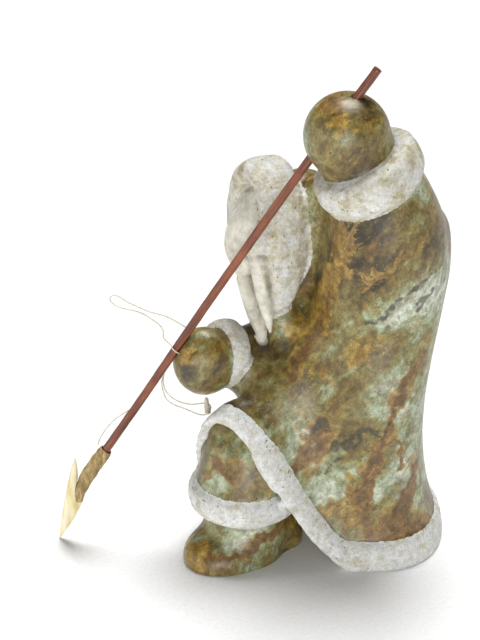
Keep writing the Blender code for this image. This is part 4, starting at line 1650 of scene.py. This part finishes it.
@dataclass
class Carving:
    """The stone hunter: every form fused into one skin, rubbed smooth, tooled, and cut for the harpoon."""

    harpoon: Harpoon
    lines: SinewLines
    parka: Parka = field(default_factory=lambda: Parka(HEM, PARKA_SECTIONS))
    grain: float = 1.42
    grooved: Triple = (-22, -104, 134)
    groove_reach: float = 22
    groove_radius: float = 0.85
    smooth_rounds: int = 36
    even_rounds: int = 4
    hem_rounds: int = 12
    recess_rounds: int = 14
    full_recess: float = 0.75
    locks_round: float = 60
    lock_depth: float = 0.5

    def frost(self, points: Array) -> Array:
        """Where the stone is left unwaxed: the nearest of the trims and the face, with a ragged edge.

        Args:
            points: one place a row.

        Returns:
            One on the fur trims, the face and the tusks, nothing on the polished stone.
        """
        moved = points + ripple(points, 4.5, 21)[:, None] * 0.2
        found = self.parka.hem_nearness(points)
        for band in (RUFF, *CUFFS):
            np.maximum(found, band.nearness(moved), out=found)
        np.maximum(found, TROUSER_TRIM.nearness(moved) * (1 - self.parka.cover(points)), out=found)
        return np.maximum(found, self.face(points))

    def face(self, points: Array) -> Array:
        """Where the face is: near its forms, or in the ruff's opening, and not on the ruff.

        Args:
            points: one place a row.

        Returns:
            One on the face and the tusks, nothing elsewhere.
        """
        least = np.min([limb.depth(points) for limb in (*CHEEKS, *TUSKS)], axis=0)
        found = np.maximum(1 - ease(least, 0.9, 1.9), RUFF.opening(points))
        return found * (1 - RUFF.nearness(points))

    def recess(self, mesh: bpy.types.Mesh, points: Array) -> Array:
        """How far the surface, rubbed well down, would stand proud of each point, the ruff's locks left out.

        Args:
            mesh: the carving.
            points: its points.

        Returns:
            One deep in a recess, nothing elsewhere; the material paints shade where it is high.
        """
        edges = read_edges(mesh)
        rubbed = relax(points, edges, 0.6, self.recess_rounds)
        proud = np.einsum("ij,ij->i", rubbed - points, read_normals(mesh))
        tusk = np.min([limb.depth(points) for limb in TUSKS], axis=0)
        furry = RUFF.nearness(points) * ease(tusk, 2.5, 5)
        depth = relax(proud, edges, 0.5, self.even_rounds) / self.full_recess
        return np.clip(depth, 0, 1) * (1 - furry)

    def fused(self) -> bpy.types.Object:
        """All forms as one closed skin of small even squares.

        Returns:
            The carving, not yet rubbed.
        """
        forms = [self.parka, *LIMBS, *EGGS, *CHEEKS, *FACE_PADS, *TUSKS, RUFF, *CUFFS, TROUSER_TRIM]
        obj = place("stone_carving", mesh_of("stone_carving", [form.shell() for form in forms]))
        melt = obj.modifiers.new("melt", "REMESH")
        melt.mode, melt.voxel_size = "VOXEL", self.grain * MM
        settle(obj)
        return obj

    def rub(self, mesh: bpy.types.Mesh) -> None:
        """Rubs the stone smooth away from its trims, and the trims and face only a little.

        Args:
            mesh: the carving.
        """
        points, edges = read_points(mesh), read_edges(mesh)
        near = relax(self.frost(points), edges, 0.8, 5)
        points = relax(points, edges, 0.5 * (1 - ease(near, 0.02, 0.3)), self.smooth_rounds)
        points = relax(points, edges, 0.5, self.even_rounds)
        points = relax(points, edges, 0.5 * self.parka.hem_nearness(points), self.hem_rounds)
        write_points(mesh, points)

    def tool(self, mesh: bpy.types.Mesh) -> None:
        """Cuts relief: two sizes of ripple over the trims, locks of fur round the ruff, which are the sine of
        many times the angle round it, and the creases.

        Args:
            mesh: the carving.
        """
        points, normals = read_points(mesh), read_normals(mesh)
        frost, face = self.frost(points), self.face(points)
        relief = (ripple(points, 4.0, 31) * 0.06 + ripple(points, 9, 32) * 0.1) * frost * (1 - 0.75 * face)
        around, _, up = RUFF.own(points)
        height = RUFF.height / 2 * RUFF.narrowing(around)
        back = ease(-up / height, 0.35, 1.0)
        locks = np.sin(around * self.locks_round + 1.4 * np.sin(around * 7) + up * 0.12)
        relief += RUFF.nearness(points) * (0.05 + self.lock_depth * back) * locks
        for crease in CREASES:
            relief -= crease.depth * crease.amount(points)
        write_points(mesh, points + normals * relief[:, None])

    def cutters(self) -> list[bpy.types.Mesh]:
        """What is taken from the carving: the ground's slab, the shaft's bore and the groove for the line.

        Returns:
            The closed meshes.
        """
        corners = 300.0 * np.array(((-1, -1), (1, -1), (1, 1), (-1, 1)))
        slab = np.stack([np.c_[corners, np.full(4, z)] for z in (-60.0, 0.0)])
        bore = spaced(self.harpoon.shaft_path(self.harpoon.clearance), 3)
        radius = np.full(len(bore), self.harpoon.diameter / 2 + self.harpoon.clearance)
        groove = spaced(self.lines.harpoon_route(), 1.4)
        near = groove[np.linalg.norm(groove - self.grooved, axis=1) < self.groove_reach]
        return [
            mesh_of("ground", [skin(slab)]),
            mesh_of("shaft_bore", [skin(tube_rows(bore, radius, 32))]),
            mesh_of("line_groove", [skin(tube_rows(near, np.full(len(near), self.groove_radius), 12))]),
        ]

    def build(self) -> None:
        """Makes the carving and gives it its stains, which wander off their paths, and its finish."""
        obj = self.fused()
        log.info("fused: %d faces", len(obj.data.polygons))
        self.rub(obj.data)
        self.tool(obj.data)
        carve(obj, self.cutters())
        mesh, points = obj.data, read_points(obj.data)
        give(mesh, "frost", self.frost(points))
        give(mesh, "face", self.face(points))
        give(mesh, "fur", RUFF.nearness(points))
        # The recess mask, which tells the material where to paint shade into hollows and creases.
        give(mesh, "recess", self.recess(mesh, points))
        wander = [ripple(points, 16, 40 + k) * 1.5 + ripple(points, 6, 50 + k) * 0.8 for k in range(3)]
        points = points + np.stack(wander, axis=1)
        for stain in Stain:
            amounts = [vein.amount(points) for vein in VEINS if vein.stain is stain]
            give(mesh, stain.value, np.clip(np.sum(amounts, axis=0), -1, 1))
        show(obj, "stone_figure", Soapstone().material())


@dataclass
class Studio:
    """A plain pale floor, soft lights and the camera at the photograph's view, in millimetres and degrees. A
    light's row is its name, where it comes from, how wide it looks and its strength.
    """

    target: Triple = (-21.74, -70.38, 141.67)
    distance: float = 1150.0
    azimuth: float = 65.0
    elevation: float = 28.0
    lens: float = 107.8
    sensor: float = 36.0
    floor_size: float = 30000.0
    paper_tooth: float = 2.5
    surround: float = 0.08
    suns: tuple[tuple[str, Triple, float, float], ...] = (
        ("top", (-0.3, 0.22, 1.0), 26, 3.3),
        ("front", (0.95, -0.5, 0.07), 40, 2.5),
        ("side", (-0.1, -1.0, 0.08), 50, 0.9),
    )

    def aimed(self, name: str, data: bpy.types.ID, back: Vector) -> bpy.types.Object:
        """Adds a light or a camera that looks along a direction.

        Args:
            name: the object's name.
            data: the light or the camera.
            back: the way from what it looks at to it.

        Returns:
            The object.
        """
        obj = place(name, data)
        obj.rotation_mode = "QUATERNION"
        obj.rotation_quaternion = (-back).to_track_quat("-Z", "Y")
        return obj

    def camera(self) -> None:
        """A camera on the line from the target out along azimuth and elevation."""
        a, e = math.radians(self.azimuth), math.radians(self.elevation)
        back = Vector((math.sin(a) * math.cos(e), -math.cos(a) * math.cos(e), math.sin(e)))
        data = bpy.data.cameras.new("camera")
        data.lens, data.sensor_width, data.clip_end = self.lens, self.sensor, 100
        camera = self.aimed("camera", data, back)
        camera.location = Vector(self.target) * MM + back * self.distance * MM
        bpy.context.scene.camera = camera

    def floor(self) -> None:
        """A flat pale floor, matt as paper."""
        reach = self.floor_size * MM
        corners = [(-reach, -reach, 0), (reach, -reach, 0), (reach, reach, 0), (-reach, reach, 0)]
        mesh = bpy.data.meshes.new("floor")
        mesh.from_pydata(corners, [], [(0, 1, 2, 3)])
        made, tree, shader = new_material("white_paper")
        coords = add(tree, "TexCoord", {}, {}, "Object")
        tooth = {"Vector": coords, "Scale": 1 / (self.paper_tooth * MM), "Detail": 3}
        noise = add(tree, "TexNoise", {}, tooth)
        tone = add(tree, "ValToRGB", {"ramp": ((0.3, "#F6F6F6"), (0.7, "#FFFFFF"))}, (noise,))
        connect(shader, {"Base Color": tone, "Roughness": 0.9, "Specular IOR Level": 0.1})
        mesh.materials.append(made)
        place("floor", mesh)

    def lights(self) -> None:
        """A white surround, a soft light from above and behind, and two weaker ones low in front."""
        world = bpy.data.worlds.new("surround")
        world.use_nodes = True
        connect(world.node_tree.nodes["Background"], {"Color": linear("#FFFFFF"), "Strength": self.surround})
        bpy.context.scene.world = world
        bpy.context.scene.view_settings.view_transform = "Standard"
        for name, spot, spread, power in self.suns:
            data = bpy.data.lights.new(name, "SUN")
            data.angle, data.energy = math.radians(spread), power
            self.aimed(name, data, Vector(spot)).location = spot

    def build(self) -> None:
        """Sets the camera, the floor and the lights."""
        self.camera()
        self.floor()
        self.lights()
        log.info("studio: camera, floor and %d lights", len(self.suns))


def main() -> None:
    """Builds the studio and every piece."""
    logging.basicConfig(level=logging.INFO, format="%(name)s: %(message)s")
    Studio().build()
    harpoon = Harpoon()
    lines = SinewLines(harpoon)
    harpoon.build()
    lines.build()
    Carving(harpoon, lines).build()


if __name__ == "__main__":
    main()
